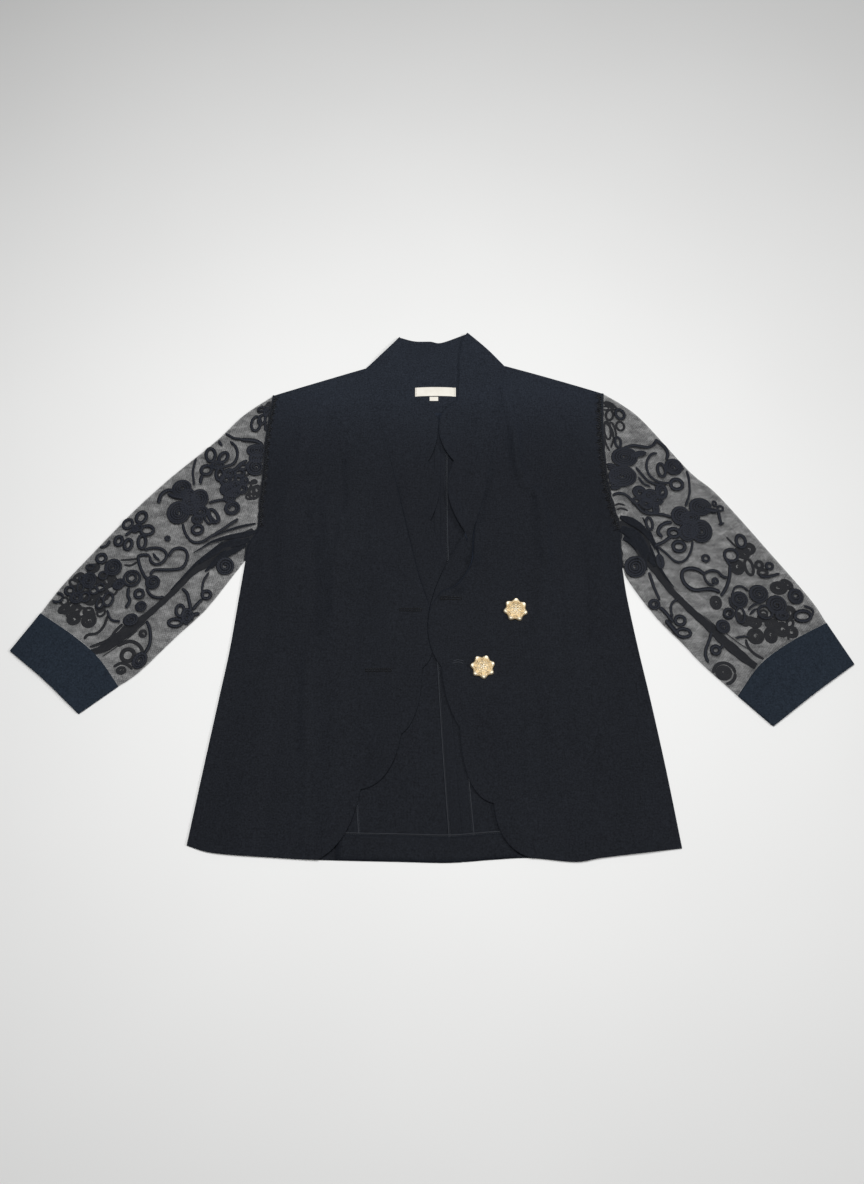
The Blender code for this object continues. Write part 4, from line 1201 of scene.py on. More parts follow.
# %% Embroidery of the right sleeve
RIGHT_UPPER = {
    "petals": [
        (-217, 160, 13.5, 9.5), (-216, 149, 11, 7), (-217, 137, 12.5, 12.5), (-305.5, 107, 12.7, 12.5),
        (-282.5, 93.5, 11.5, 13), (-306.5, 74.5, 14.5, 15.5), (-292, 90, 12, 11, 0.3),
        (-280, 76, 10, 9, 0.15), (-293, 84, 13, 13), (-264, 139, 9.5, 7), (-247, 105, 9.5, 10.5, 0.25),
        (-252.5, 119, 8.5, 9.5, 0.2), (-236, 120, 7.5, 8, 0.35), (-241.8, 80.7, 10.4, 10, 0.42),
        (-316.5, 40.7, 4.4, 4.3), (-357, 53, 5, 6), (-377.5, 3.5, 11, 11.5, 0.12),
        (-328.6, -15.5, 9.3, 9.3), (-339, -46, 7.4, 7.2), (-349, -62.5, 9.5, 8, 0.1, 20),
        (-404, -13, 9.5, 11, 0.15), (-416, -35, 9, 8, 0.2), (-369, -19, 7.5, 6.5, 0.2, 20),
        (-244.5, 5, 11, 11.5, 0.2), (-297, 98, 10, 9), (-283, 66, 8, 7, 0.15), (-353, 55, 6, 6),
        (-284, -58, 8, 11, 0.1, 10), (-334, -111, 8.5, 11, 0.2, -30), (-251, 106, 8.5, 9),
        (-231.5, 106.5, 7.5, 8, 0.3), (-240, 111, 8, 8, 0.2), (-240.5, 101.5, 8, 7.5, 0.2),
        (-246, 94, 8.5, 6.5), (-229, 117, 6, 6.5), (-248.5, 128, 8.5, 7, 0.2),
        (-207.5, 216, 8, 5.5, 0.1, 70),
    ],
    "loops": [
        (-220.5, 198, 12.4, 7.8, 4.2, 85), (-213.5, 204, 9, 6, 3.8, 75), (-274, 153.5, 12, 8.2, 5, 100),
        (-257.7, 149.5, 10, 7.6, 5, 65), (-277.3, 132, 9.2, 9, 5.2), (-263, 71, 11.9, 6, 4, -55),
        (-270, 66, 8.4, 4.9, 3.6, -62), (-281.6, 52.2, 8.8, 8.4, 5.4), (-351, 68.5, 10, 8.6, 5.2, 75),
        (-342, 51.3, 10, 8.4, 5), (-346.8, 36.2, 11, 7, 4.8, 95), (-363, 33, 9.2, 7, 5.2, 85),
        (-366.5, 60, 8.4, 7.4, 4.2, 60), (-375, 37.7, 8.4, 7, 5.2, 90), (-391.8, 34.7, 8.4, 6, 4, 40),
        (-393, 15, 8, 8, 5), (-353.7, -10.6, 11.3, 11.3, 3.8), (-354, -10, 7, 7.3, 3.8),
        (-343, -30, 7.4, 7.4, 4.8), (-438.6, -34.6, 8.6, 7.6, 4.2), (-378.5, -37, 10, 7.4, 3.8, 85),
        (-264, -31, 7.4, 7.2, 4.8), (-293, -50.8, 9.3, 7, 4.6, 95), (-297.5, -65.5, 10, 6.8, 4.6),
        (-260.3, 126, 10.4, 7.2, 5, 95), (-236, 128, 8, 7, 4.4), (-232.5, 137, 6, 5.4, 3.6),
        (-215, 219, 6, 4.4, 3.2), (-206, 194, 9.6, 5, 3.6, 90), (-207.5, 205, 5.4, 4, 3, 80),
        (-264.5, 70, 12, 7, 4, -62), (-405, 4, 6.4, 4.8, 3.2), (-411, -11, 7, 6, 4),
        (-389.5, -22, 6.4, 6.4, 3.6), (-396.6, -26, 6.4, 6, 3.6), (-406, -34, 7.4, 7.6, 4),
        (-387.5, -41.5, 8, 5.6, 3.4, 85), (-425.5, -26, 7.4, 7, 4, -30), (-413, -22, 7.4, 5.4, 3.4, 90),
        (-388, -7, 6.6, 6.4, 3.8), (-367, -16.5, 7, 6, 3.6),
    ],
    "stems": [
        (6, [(-322, 101), (-316, 97), (-309, 95), (-302, 94)]),
        (4, [(-368, 44), (-362, 50), (-356, 54)]),
        (3.8, [(-262, 187), (-258.6, 184.7), (-251.3, 180), (-246, 177), (-236, 175.7)]),
        (6.2, [(-238, 175), (-229, 174.5), (-220, 173.5), (-214, 170.5), (-210, 166)]),
        (4.6, [(-265.5, 180), (-264.9, 173), (-261, 166.5)]),
        (4.2, [(-251.3, 172.7), (-244.2, 165.5), (-240.8, 156.8), (-241.1, 148), (-245, 141),
               (-252.9, 137), (-261, 136)]),
        (4.2, [(-228, 146), (-236, 141), (-242, 134), (-251, 130)]),
        (5.4, [(-281, 126), (-283, 119), (-282.6, 113)]),
        (3.4, [(-291.5, 151), (-293.6, 138), (-293.9, 128.4), (-291.9, 118.6), (-290.5, 111)]),
        (5.8, [(-314, 103), (-320, 105), (-326, 103.3), (-330, 99), (-331.6, 93.5), (-332, 87)]),
        (4, [(-271, 87.5), (-262, 90.5), (-252, 92.5), (-247, 95)]),
        (4, [(-300, 60), (-297, 50), (-291.5, 41), (-284, 35.5), (-274, 36.5), (-264, 43), (-254.5, 50),
             (-244, 58), (-233, 66)]),
        (4.2, [(-343, 25.3), (-335.3, 28), (-327.2, 28.2), (-320.6, 26), (-316, 20.9), (-315.8, 15.2),
               (-320.9, 8.7), (-327.5, 7.2), (-333.8, 11.6), (-335, 18)]),
        (4, [(-332, 21.5), (-327.5, 15.5), (-323, 12.5)]),
        (4.4, [(-335.5, 18.6), (-342, 19.4), (-348.9, 17.4), (-347.4, 9.4), (-343.9, 0.8), (-339, -7.7),
               (-334, -13)]),
        (4.4, [(-313, 17), (-310.8, 22.3), (-307.9, 26.2), (-302, 28.2), (-295.4, 26.7), (-291.1, 21),
               (-290.8, 13), (-293.6, 5.1), (-299.6, 1.1), (-311.5, 0.2), (-323.5, 0.4), (-329.5, -0.8),
               (-332.4, -7)]),
        (4.2, [(-335, -22), (-333, -27), (-328, -32.5), (-320, -35.6), (-313, -34)]),
        (4.8, [(-356, -22), (-356, -32), (-353, -39), (-357, -48)]),
        (3.4, [(-378, -50), (-375, -58), (-370, -63), (-361, -64)]),
        (3.2, [(-263, -3), (-268, -12), (-269.5, -22), (-268.5, -31)]),
        (4.8, [(-293, -23.5), (-287, -29), (-284, -37), (-281.5, -46.5), (-281, -55)]),
        (4.6, [(-268, -36), (-274, -43), (-279, -50)]),
        (5.6, [(-270, -54), (-277, -56), (-283, -64)]),
        (6.6, [(-278, -63), (-284, -71), (-291, -77)]),
        (4.6, [(-330.5, -63.5), (-326, -73.5), (-324, -84.7), (-325, -94), (-329, -103)]),
    ],
}
RIGHT_LOWER = {
    "petals": [
        (-385, -12, 10, 9.5, 0.3), (-386, -30, 8, 9, 0.3), (-400, -36, 9, 8, 0.35),
        (-399, -62, 9.5, 9.5), (-417, -60, 9, 8, 0.2), (-430, -48, 8, 6, 0.3, 30),
        (-402, 3, 9, 6.5, 0.3, 30), (-418, -8, 8, 6, 0.3, 40), (-261, 127, 6, 7, 0.3),
        (-334.4, -78, 5.6, 5.6), (-354.6, -122, 6.5, 5.5), (-218, 118, 5, 4),
        (-206, 227, 7, 4.5, 0.2, 50), (-213.5, 106.5, 7, 8, 0.4),
    ],
    "loops": [
        (-217, 103, 10, 8.4, 4, 80), (-230, 130, 6.4, 5.9, 3.6), (-226, 113, 6.4, 6.4, 3.6),
        (-425, -24, 7.4, 6.4, 3.8, 20), (-416, -47, 7.4, 6.4, 3.8), (-401, -51, 7.4, 6.4, 3.8),
        (-388, -45, 6.9, 7.9, 3.8), (-409, -22, 7.4, 6.4, 3.8), (-349, -104, 10, 10, 5.6),
        (-206, 214, 6.4, 4.9, 3.4, 60), (-216, 219, 6.4, 4.4, 3.4, 40), (-204.5, 195, 9.4, 4, 3, 88),
        (-212, 227, 5.5, 4, 3, 30), (-222, 98, 6.4, 5.6, 3.4), (-422.6, -15, 7.4, 5.8, 3.8, -30),
        (-395, -35, 7.4, 7, 3.8), (-387.5, -30.5, 6, 5.4, 3.2), (-420.8, -44.5, 6.4, 7, 3.8),
        (-427.5, -49, 6.4, 6, 3.6), (-421, -55, 6.4, 5.4, 3.6), (-415.5, -49, 6, 5.4, 3.4),
        (-408, -52, 7.4, 5.8, 3.4, 70), (-398.5, -55, 6.8, 5.8, 3.6), (-386, -52, 6.8, 5.8, 3.2, 60),
        (-377, -25, 8, 7.4, 3.2), (-378, -11, 6.4, 5.4, 3.6), (-400, -12, 7, 6.4, 3.8),
        (-431, -38, 6, 6, 3.2),
    ],
    "stems": [
        (3.8, [(-378, -56), (-381, -69), (-388, -77.5), (-398, -79.5), (-402, -85)]),
        (4.8, [(-362, -93), (-354, -88.8), (-346.5, -87.4), (-338, -91.6), (-332.5, -100),
               (-334, -110)]),
        (4, [(-364, -118), (-356, -113.5), (-347, -116), (-342, -121)]),
        (3.2, [(-387, -99.5), (-373, -91.5), (-363.5, -80), (-357, -68)]),
        (3.8, [(-397, -95), (-382, -90), (-372, -83.5), (-366, -74), (-359, -66)]),
        (2.8, [(-371, 14), (-360, 14.5), (-350, 16)]),
        (3, [(-366, 8), (-358, 7), (-350, 12)]),
    ],
}

# %% Embroidery of the left sleeve
LEFT_UPPER = {
    "petals": [
        (240, 150.5, 17, 14), (235.5, 124, 18, 15), (220, 131, 13, 12), (225, 113, 10, 8),
        (299.5, 137, 12, 12), (308.5, 140.5, 8.5, 6.5, 0.15, -40), (302, 70.5, 12, 13),
        (327, 82, 14.5, 12.5), (313, 68, 13, 9, 0.2), (312.5, 54, 14, 11, 0.1, 80), (325, 50, 14, 15.5),
        (308, 48, 11, 12), (361.2, -37.2, 10.6, 10.6), (384.6, -30, 12, 11.6),
        (404, -44, 12.5, 12.5, 0.15), (428, -33, 10, 10.5, 0.25), (409, -57, 9, 7, 0.2),
        (338.4, -70.6, 9, 9.2), (335.4, -14, 5, 5), (242.5, 4, 13.5, 14, 0.12),
        (282.5, 101.5, 9.6, 7.4, 0.3, 80), (268, 98, 10, 9, 0.15), (256, 101, 8, 8.5, 0.3),
        (261.5, 86.5, 9, 9, 0.2), (273, 80, 5, 8, 0.2), (261.3, -42.9, 7.6, 7.2, 0.35),
        (272.5, 11, 5.5, 10, 0.2, 5), (275, 92, 9, 8), (257, 154, 11, 4.5, 0.1, 12),
    ],
    "loops": [
        (238.5, 211.5, 9.6, 7.6, 4.8, 110), (233.3, 171.5, 9, 5.4, 3.8, 95),
        (284, 132, 11.4, 7, 4.6, 95), (301, 112.4, 10, 9.8, 5.4), (263.4, 60, 9.8, 6, 4.2, 95),
        (345, 87, 4.8, 3.8, 3.2, 95), (351.5, 80.5, 5.2, 4.8, 3.2), (296.6, 30.3, 9.8, 9.2, 5.6),
        (292, 48, 9.2, 8.2, 5.4), (327.1, 14.9, 5.9, 5.9, 3.8), (371.5, 37, 10.6, 8, 5, 95),
        (357.8, 19, 10.2, 9.8, 4.2), (402, 5.2, 6, 6, 4.2), (433, -57.5, 12, 8.8, 5, 8),
        (360.2, -56.4, 11.2, 6.8, 3.6, 90), (389.8, -52.7, 10.2, 9.8, 3.8), (347, -54, 7.2, 7, 3.6),
        (327.2, -98.8, 7.2, 7.2, 5), (289.6, -63, 8.1, 7.8, 4.8), (292.4, -77.9, 10.3, 7.4, 4.6, -5),
        (254.5, 103, 9, 8.6, 4.8), (263.5, 96, 8, 8, 4.6), (267, 79.5, 9.4, 8, 4.8),
        (262, 86, 8, 8, 4.6), (281.5, 104, 11, 8, 5, 95), (250, 90, 6.4, 6, 4),
    ],
    "stems": [
        (4.4, [(238, 162), (250, 166.4), (260, 165.2), (269.7, 163.8), (277.4, 168), (281.5, 175)]),
        (5.2, [(280, 176), (287, 169.5), (292.6, 162.5), (294, 154), (291.5, 147)]),
        (3.8, [(281, 155.7), (274, 154.3), (268.6, 147.4), (266.1, 139.1), (267.1, 129.5), (271.3, 122),
               (278.3, 116.5), (288, 114), (295, 115)]),
        (3.8, [(252.9, 136.4), (259.8, 126), (266.1, 117.9), (275.5, 113), (284, 111)]),
        (3.2, [(255, 123), (261, 113.5), (269, 110)]),
        (3.4, [(315.5, 132), (317, 122.6), (317, 113), (316, 102.3), (313.3, 93), (309, 83)]),
        (4, [(246, 92), (251, 83), (257, 76), (264, 73), (273.5, 73), (282, 72), (291, 68.4)]),
        (3.8, [(219, 96), (225.7, 100.3), (231.9, 101.2), (237.8, 98.6), (243, 93), (247, 86)]),
        (7.6, [(331, 80), (340, 77.5), (348, 77)]),
        (4.6, [(348.5, 77), (348.8, 72.3), (349.1, 66.6), (350.5, 60)]),
        (3.6, [(346.5, 58.2), (354.5, 61.2)]),
        (5.4, [(291, 62), (283.3, 60.8), (276.5, 56.4), (273.2, 49), (277.7, 42)]),
        (4.8, [(267, 31), (278, 35.6), (284.5, 40.6), (291, 44)]),
        (3.4, [(270, 31), (280.3, 21.5), (287.4, 13.5), (294.8, 9.9), (303, 13.1), (309, 21.5),
               (312, 29.3), (313.5, 37)]),
        (5.4, [(340, -28), (331.6, -24.4), (322.7, -24.2), (312.4, -25.6), (305, -22.9), (299, -16.7),
               (296.6, -8.5), (298.4, -1.6), (304.6, 1.8), (312.4, 1.8), (319.2, -1.4), (323.5, -6)]),
        (4, [(322.5, -5), (331.5, -0.8), (339.1, -1.8), (345, -8.2), (351.5, -9.8)]),
        (3.4, [(322.8, -5), (323.2, -9), (324.8, -14), (329, -18.6), (334, -19.5)]),
        (5, [(354.6, 5), (354.2, -1), (352.7, -9), (349.7, -17.4), (345, -26.3), (339.8, -33)]),
        (4, [(350.5, 17), (353, 10), (356, 4)]),
        (4.2, [(388, -6), (394, -9), (403, -7.5), (413, -4.3)]),
        (3, [(352.5, -34), (354.4, -28.8), (357.2, -22.9), (362, -20.5), (367.6, -21.7),
             (373.5, -26.5)]),
        (3, [(350, -34), (350.5, -43), (356, -50)]),
        (3.2, [(436, -44.5), (443, -47.5), (446, -52), (442, -60)]),
        (3, [(370, -50), (374, -46), (380, -42.5), (388, -41)]),
        (3, [(371, -56), (376, -51), (381, -48.5)]),
        (3.2, [(351, -84.6), (359.6, -82.6), (367, -83)]),
        (4.4, [(324.5, -77), (320.6, -87.8), (316.2, -97.1), (315, -105), (317.5, -113.5)]),
        (4.6, [(332, -97.5), (336.5, -92.5)]),
        (4.2, [(258, -3), (260.7, -13.9), (262.5, -21.7), (265.5, -30.7), (268, -38)]),
        (5.2, [(267, -46), (272.5, -51.7), (277.5, -58.6), (281.5, -65)]),
        (3.6, [(289, -37.5), (284, -39.7), (280.8, -44.2), (279.9, -50.4), (281, -59)]),
        (7, [(273, -62), (279, -70), (286, -80)]),
    ],
}
LEFT_LOWER = {
    "petals": [
        (381, 28.5, 9, 8.4, 0.15), (364.9, 5, 9.4, 10.4, 0.15), (369, 26, 6, 6),
        (334.5, -39.8, 7.6, 9.2), (410.6, -21.5, 11, 9, 0.15), (421, -17, 9, 6, 0.2, -40),
        (376.3, -81, 10.4, 10.4, 0.2), (394, -80, 8.4, 10.4, 0.15), (408, -73, 9.5, 10, 0.2),
        (419, -76, 8, 8, 0.3), (366, -62, 7, 8, 0.35), (378, -65, 8, 7, 0.35), (419, -52, 9, 9, 0.3),
        (335, -124, 7, 7, 0.2), (227, 227, 8.5, 4.5, 0.2, -28), (374, 22, 9, 7), (387.5, -58.5, 7.5, 6),
        (360, -58, 8, 2.8, 0.1, 90), (347, -55, 6.8, 7, 0.2), (334.5, -125, 10, 9.5),
        (408, -52, 12, 10.5), (397, -66, 9, 7, 0.2),
    ],
    "loops": [
        (378.6, 5.2, 12.6, 6.8, 4.2, 98), (391, 7.6, 6.4, 7, 4.8), (394, -2, 7.8, 6.2, 5),
        (389, -53, 5.8, 5.4, 3.2), (335.2, -125.5, 14.6, 14.6, 4.4), (263, 101, 6.4, 5.4, 3.8),
        (222, 190, 14.4, 5.4, 3, 92), (229, 190, 13.4, 4.4, 3, 100), (226, 212, 9.4, 6.4, 3.8, 80),
        (222, 222, 5.4, 4.4, 3.2), (232, 222.5, 5.4, 4, 3.2, -30), (238.5, 196, 8, 6.6, 3.4, 100),
        (401, -69.5, 6.6, 6, 4.2), (418, -66, 7, 5.4, 3.6, 60), (373, -63, 6.6, 6.6, 4),
        (419, -84, 7, 6, 3.8),
    ],
    "stems": [
        (3.8, [(364.6, -85), (365.5, -92.4), (369.1, -98.8), (374.6, -104), (383, -108.5),
               (392, -110)]),
        (3, [(224, 86), (230, 88), (237, 86)]),
        (2.8, [(226, 80), (232, 82), (240, 79)]),
        (2.8, [(356, 44), (362, 36), (366, 31)]),
        (3, [(218.5, 203), (227, 193), (229, 179), (224.6, 165)]),
        (2.8, [(216.8, 183), (219.5, 169), (223, 161)]),
    ],
}
LAYOUTS = {"right": (RIGHT_UPPER, RIGHT_LOWER), "left": (LEFT_UPPER, LEFT_LOWER)}

# %% [markdown]
# Each cord is laid on its layer of net. It is cut where the sleeve folds or ends, as the cloth's
# pattern is, and it is read again every 1.5 mm.

# %% Embroidery
CORD_HALF_HEIGHT = 0.5
LOWER_CORD_SHARE = 0.9  # the cords of the lower layer are pressed a little flatter
CORD_STEP = 1.5
SHORTEST = 3  # steps; shorter pieces that a cut leaves are dropped
CORD_CLEAR = 1.2  # least distance of a cord's middle from the sleeve's rim


def within(places, outline):
    """Whether each place lies inside a closed outline: a ray from it crosses the edge an odd number
    of times."""
    crossings = np.zeros(len(places), int)
    for (x0, y0), (x1, y1) in zip(outline, np.roll(outline, -1, axis=0)):
        spans = (y0 > places[:, 1]) != (y1 > places[:, 1])
        rise = y1 - y0 if y1 != y0 else 1.0
        crossings += spans & (places[:, 0] < x0 + (places[:, 1] - y0) * (x1 - x0) / rise)
    return crossings % 2 == 1


def laid_cords(side, layout, height):
    """The layout's cords cut to the sleeve, with heights."""
    armhole, upper, under, cuff = sleeve_lines(side)
    outline = np.vstack([upper, cuff[1:], under[-2::-1], armhole[-2:0:-1]])
    rim = np.vstack([outline, outline[:1]])
    cords = []
    for line, closed, width in [draw(*row) for kind, draw in DRAWN.items() for row in layout[kind]]:
        whole = np.vstack([line, line[:1]]) if closed else line
        whole = at_shares(whole, np.linspace(0, 1, max(5, int(length_of(whole) / CORD_STEP))))
        kept = within(whole, outline) & (distance(whole, rim) > CORD_CLEAR)
        if closed and kept.all():
            cords.append(cord_at(whole[:-1], height(whole[:-1]), width, closed=True))
            continue
        cuts = np.flatnonzero(np.diff(np.concatenate([[0], kept.astype(int), [0]])))
        for start, end in zip(cuts[::2], cuts[1::2]):
            if end - start > SHORTEST:
                cords.append(cord_at(whole[start:end], height(whole[start:end]), width))
    return cords


embroidery = {}
for side in SIDES:
    upper_layout, lower_layout = LAYOUTS[side]
    upper = laid_cords(side, upper_layout, lambda places: net_top(places, side) + CORD_HALF_HEIGHT)
    lower = laid_cords(side, lower_layout, lambda places: CORD_HALF_HEIGHT)
    embroidery[side] = [
        cord_piece(f"sleeve_{side}_embroidery_upper", upper, CORD_HALF_HEIGHT, CORD, "net"),
        cord_piece(f"sleeve_{side}_embroidery_lower", lower, CORD_HALF_HEIGHT * LOWER_CORD_SHARE,
                   CORD, "net"),
    ]
print("embroidery", [len(piece.data.polygons) for side in SIDES for piece in embroidery[side]])

# %% [markdown]
# ## Sleeve seams
# Inside each sleeve runs its seam: two bound layers of net, dark through the upper layer. The
# armhole has the same allowance, and at the underarm the net lies in small gathered pleats. These are
# made of the opaque suiting, so they are gathered net with the shade in the gathers painted on them.
# All are strips of cloth, and the rows of the seam and the pleats give x, y and width. Near the cuff
# loose threads run beside the seam. Two rough dark threads and a thin grey one zigzag over the front's
# edge along the armhole; the near-black colour of the dark ones also paints the shade beside the grey
# one.

# %% Sleeve seams
SLEEVE_BAND = {
    "right": [
        (-214, 52, 8), (-232, 38, 16), (-250, 25, 20), (-266, 12, 14), (-284, -2, 9),
        (-302, -24.6, 7.5), (-320, -44, 7.5), (-334, -58, 8.5), (-349.5, -72, 12),
        (-363.6, -85, 13), (-378, -96, 10), (-392, -101, 6),
    ],
    "left": [
        (231, 66, 10), (243, 50, 22), (252, 34, 22), (260, 16, 17), (268, 0, 10.5),
        (275, -12.6, 8.5), (284, -26.2, 8), (294.4, -38.5, 8), (305, -50.8, 8.5),
        (316, -62, 9.5), (327, -73.9, 10.5), (338, -86.7, 11.5), (350, -98.2, 12),
        (362, -109.7, 10), (372, -117.7, 7),
    ],
}
UNDERARM_PLEATS_AND_SHADE = {
    "right": [
        [(-210, 51, 3), (-224, 46, 7), (-242, 42, 6), (-262, 36, 3), (-284, 22, 1)],
        [(-218, 40, 5), (-230, 36, 10), (-246, 30, 9), (-262, 20, 6), (-276, 8, 2)],
        [(-222, 33, 3), (-234, 26, 8), (-247, 18, 9), (-258, 8, 6), (-268, -2, 2)],
        [(-212, 61, 2), (-226, 57, 3), (-244, 51, 2.6), (-268, 40, 1)],
        [(-250, 36, 1.4), (-276, 12, 3), (-292, -8, 3), (-306, -26, 1)],
    ],
    "left": [
        [(229, 70, 4), (240, 64, 10), (252, 55, 9), (262, 42, 5), (268, 28, 2)],
        [(229, 54, 8), (240, 48, 14), (250, 36, 13), (258, 20, 9), (266, 4, 3)],
        [(231, 42, 5), (241, 37, 10), (249, 26, 10), (253, 12, 6), (256, 0, 2)],
        [(256, 68, 1.4), (262, 52, 3), (270, 28, 3), (276, 6, 1)],
        [(262, 30, 1.4), (268, 12, 3.4), (276, -6, 3), (286, -22, 1)],
    ],
}
LOOSE_THREADS = {
    "right": [[(-352, -70), (-372, -84), (-390, -92)], [(-340, -74), (-360, -92), (-378, -106)],
              [(-330, -62), (-352, -84)]],
    "left": [[(338, -74), (356, -90), (374, -102)], [(330, -84), (348, -102), (364, -116)],
             [(318, -56), (334, -72)]],
}


# %% Strips and zigzags
STRIP_COLUMNS = 7


def seam_strip(line, widths, low, wall):
    """A thin strip along a line, whose upper face is a low arch over its width."""
    share = np.linspace(-0.5, 0.5, STRIP_COLUMNS)
    plan = np.stack([beside(line, widths * part) for part in share], axis=1)
    arch = 1 - np.linspace(-1, 1, STRIP_COLUMNS) ** 2
    low = np.broadcast_to(np.reshape(low, (-1, 1)), plan.shape[:2])
    return thin_shell(plan, low + wall * (0.5 + 0.5 * arch), low)


SERGING = {"right": 6.5, "left": 9.0}  # how far the rough threads reach in from the armhole
BAND_LOW, BAND_WALL = 1.25, 0.5
PLEAT_WALL = 0.7
LOOSE_HEIGHT = 1.6
SERGED_SHARE = 0.8  # of the armhole, from the shoulder down
SERGED_FROM = 0.8  # millimetres in from the armhole
# The dark threads' near-black colour also paints the shade beside the grey thread.
DARK_THREADS_AND_SHADE = [(1.0, 2.6, 1.7), (0.7, 3.7, 1.5)]  # share of the reach, pitch and width
GREY_THREAD = (0.8, 3.3, 0.5)
THREAD_LIES = 0.35  # middle of these threads above the front
PLEAT_SUNK = 0.1  # underside of a pleat below the net's upper layer
FRAY, FRAY_WAVES = 1.6, [(0.5, 70), (0.4, 131)]  # reach of the armhole's allowance, and its waves


def serging(side, share, pitch, width):
    """A zigzag on the front beside the armhole, out to an uneven reach."""
    reach = SERGING[side] * share
    count = int(SERGED_SHARE * length_of(armhole_line(side)) / pitch) * 2
    base = at_shares(armhole_line(side), np.linspace(0.01, SERGED_SHARE, count))
    step = np.arange(count)
    inward = np.where(step % 2 == 0, SERGED_FROM, reach * (0.7 + 0.3 * np.sin(step * 2.4)))
    line = beside(base, -OUTWARD[side] * inward)
    return cord_at(line, front_top(line, side) + THREAD_LIES, width)


for side in SIDES:
    band = smooth_curve(SLEEVE_BAND[side], 8)
    line, widths = band[:, :2], band[:, 2] + 0.5 * np.sin(travelled(band[:, :2]) * 90)
    parts = [seam_strip(line, widths, BAND_LOW, BAND_WALL)]
    armhole = sleeve_lines(side)[0]
    frayed = sum((rise * np.sin(travelled(armhole) * pace) for rise, pace in FRAY_WAVES), FRAY)
    # Its inner edge lies 1.2 mm inside the net's armhole, its outer one 0.2 mm past the frayed reach.
    inner = beside(armhole, OUTWARD[side] * (frayed / 2 - 0.5))
    parts.append(seam_strip(inner, frayed + 1.4, BAND_LOW + 0.05, BAND_WALL))
    # Pleats of the opaque suiting: gathered net, with painted shade in the gathers.
    for rows in UNDERARM_PLEATS_AND_SHADE[side]:
        pleat = smooth_curve(rows, 8)
        line, widths = pleat[:, :2], pleat[:, 2]
        parts.append(seam_strip(line, widths, net_top(line, side) - PLEAT_SUNK, PLEAT_WALL))
    make_piece(f"sleeve_{side}_seam_allowance", *combine(parts), SUITING, "net")
    loose = [cord_at(smooth_curve(places, 10), LOOSE_HEIGHT, 1.0) for places in LOOSE_THREADS[side]]
    cord_piece(f"sleeve_{side}_loose_threads", loose, 0.3, CORD, "net", sides=5)
    # Rough threads whose near-black colour also paints the shade along the armhole.
    rough = [serging(side, *row) for row in DARK_THREADS_AND_SHADE]
    cord_piece(f"sleeve_{side}_serging_dark_painted_shade", rough, 0.3, BUTTONHOLE_SILK, "net", sides=5)
    grey = [serging(side, *GREY_THREAD)]
    cord_piece(f"sleeve_{side}_serging_grey", grey, 0.4, OVERLOCK, "net", sides=5)
    print("seam", side, "strips", len(parts), "loose threads", len(loose))

# %% [markdown]
# ## Cuffs
# A cuff is a short tube of suiting, turned up and pressed flat. It is made as the sleeve is. Solidify
# gives it a wall, which keeps the folds round and shows its thickness at the tube's two ends.

# %% Cuffs
CUFF_TOP = 3.5
CUFF_PUFF = 0.9
CUFF_CLOTH = 1.0
CUFF_MIDDLE = 1.75
CUFF_ROLL = 2.6
CUFF_LENGTH, CUFF_COLUMNS, CUFF_ROWS = 58, 44, 14
CUFF_FOLD_REACH = 12
CUFF_END_DROP, CUFF_END_RADIUS = 0.3, 1.4
CUFF_CUT = (0.25, 0.066)  # all round and along, in metres
CUFF_FOLDS = {
    "right": [Fold(0.5, 9, [(-450, -78), (-410, -120)]), Fold(-0.4, 8, [(-425, -96), (-398, -140)])],
    "left": [Fold(0.5, 9, [(452, -90), (404, -140)]), Fold(-0.4, 8, [(428, -110), (392, -150)])],
}


def cuff_tube(side):
    seam = beside(smooth_curve(CUFF_SEAM[side]), OUTWARD[side] * SEAM_GAP)
    end = smooth_curve(CUFF_END[side])
    upper, under = np.vstack([seam[:1], end[:1]]), np.vstack([seam[-1:], end[-1:]])
    plan = patch(seam, end, upper, under,
                 loop_shares(CUFF_COLUMNS), edge_shares(CUFF_LENGTH, CUFF_ROWS))
    fold = np.minimum(distance(plan, upper), distance(plan, under))
    ends = np.minimum(distance(plan, seam), distance(plan, end))
    closing = rounded(1.0, fold, CUFF_ROLL)
    high = CUFF_TOP + CUFF_PUFF * ease(fold / NET_REACH)
    high = high + relief(plan, CUFF_FOLDS[side]) * ease(fold / CUFF_FOLD_REACH)
    high = high - rounded(CUFF_END_DROP, ends, CUFF_END_RADIUS)
    high = high + (CUFF_MIDDLE - high) * closing
    return pressed_tube(side, plan, high, CUFF_MIDDLE * closing)


for side in SIDES:
    points, faces = cuff_tube(side)
    # The cuffs' lighter copy of the suiting paints their sheen.
    cuff = make_piece(f"cuff_{side}_cloth", points, faces, CUFF_SUITING_PAINTED_SHEEN, "cuff_cloth")
    wall = cuff.modifiers.new("wall", "SOLIDIFY")
    wall.thickness = CUFF_CLOTH * MM
    wall.offset = -1
    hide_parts(f"cuff_{side}")
    declare_tube(cuff, points, faces, CUFF_CUT)
    print("cuff", side, len(cuff.data.polygons))

# %% [markdown]
# ## Allowances, overlock and buttonholes
# Inside the back show the centre seam's two allowances and the turned-up hem. Their raw edges are
# overlocked: a grey thread zigzags over the edge, here at the true 2.4 mm pitch.

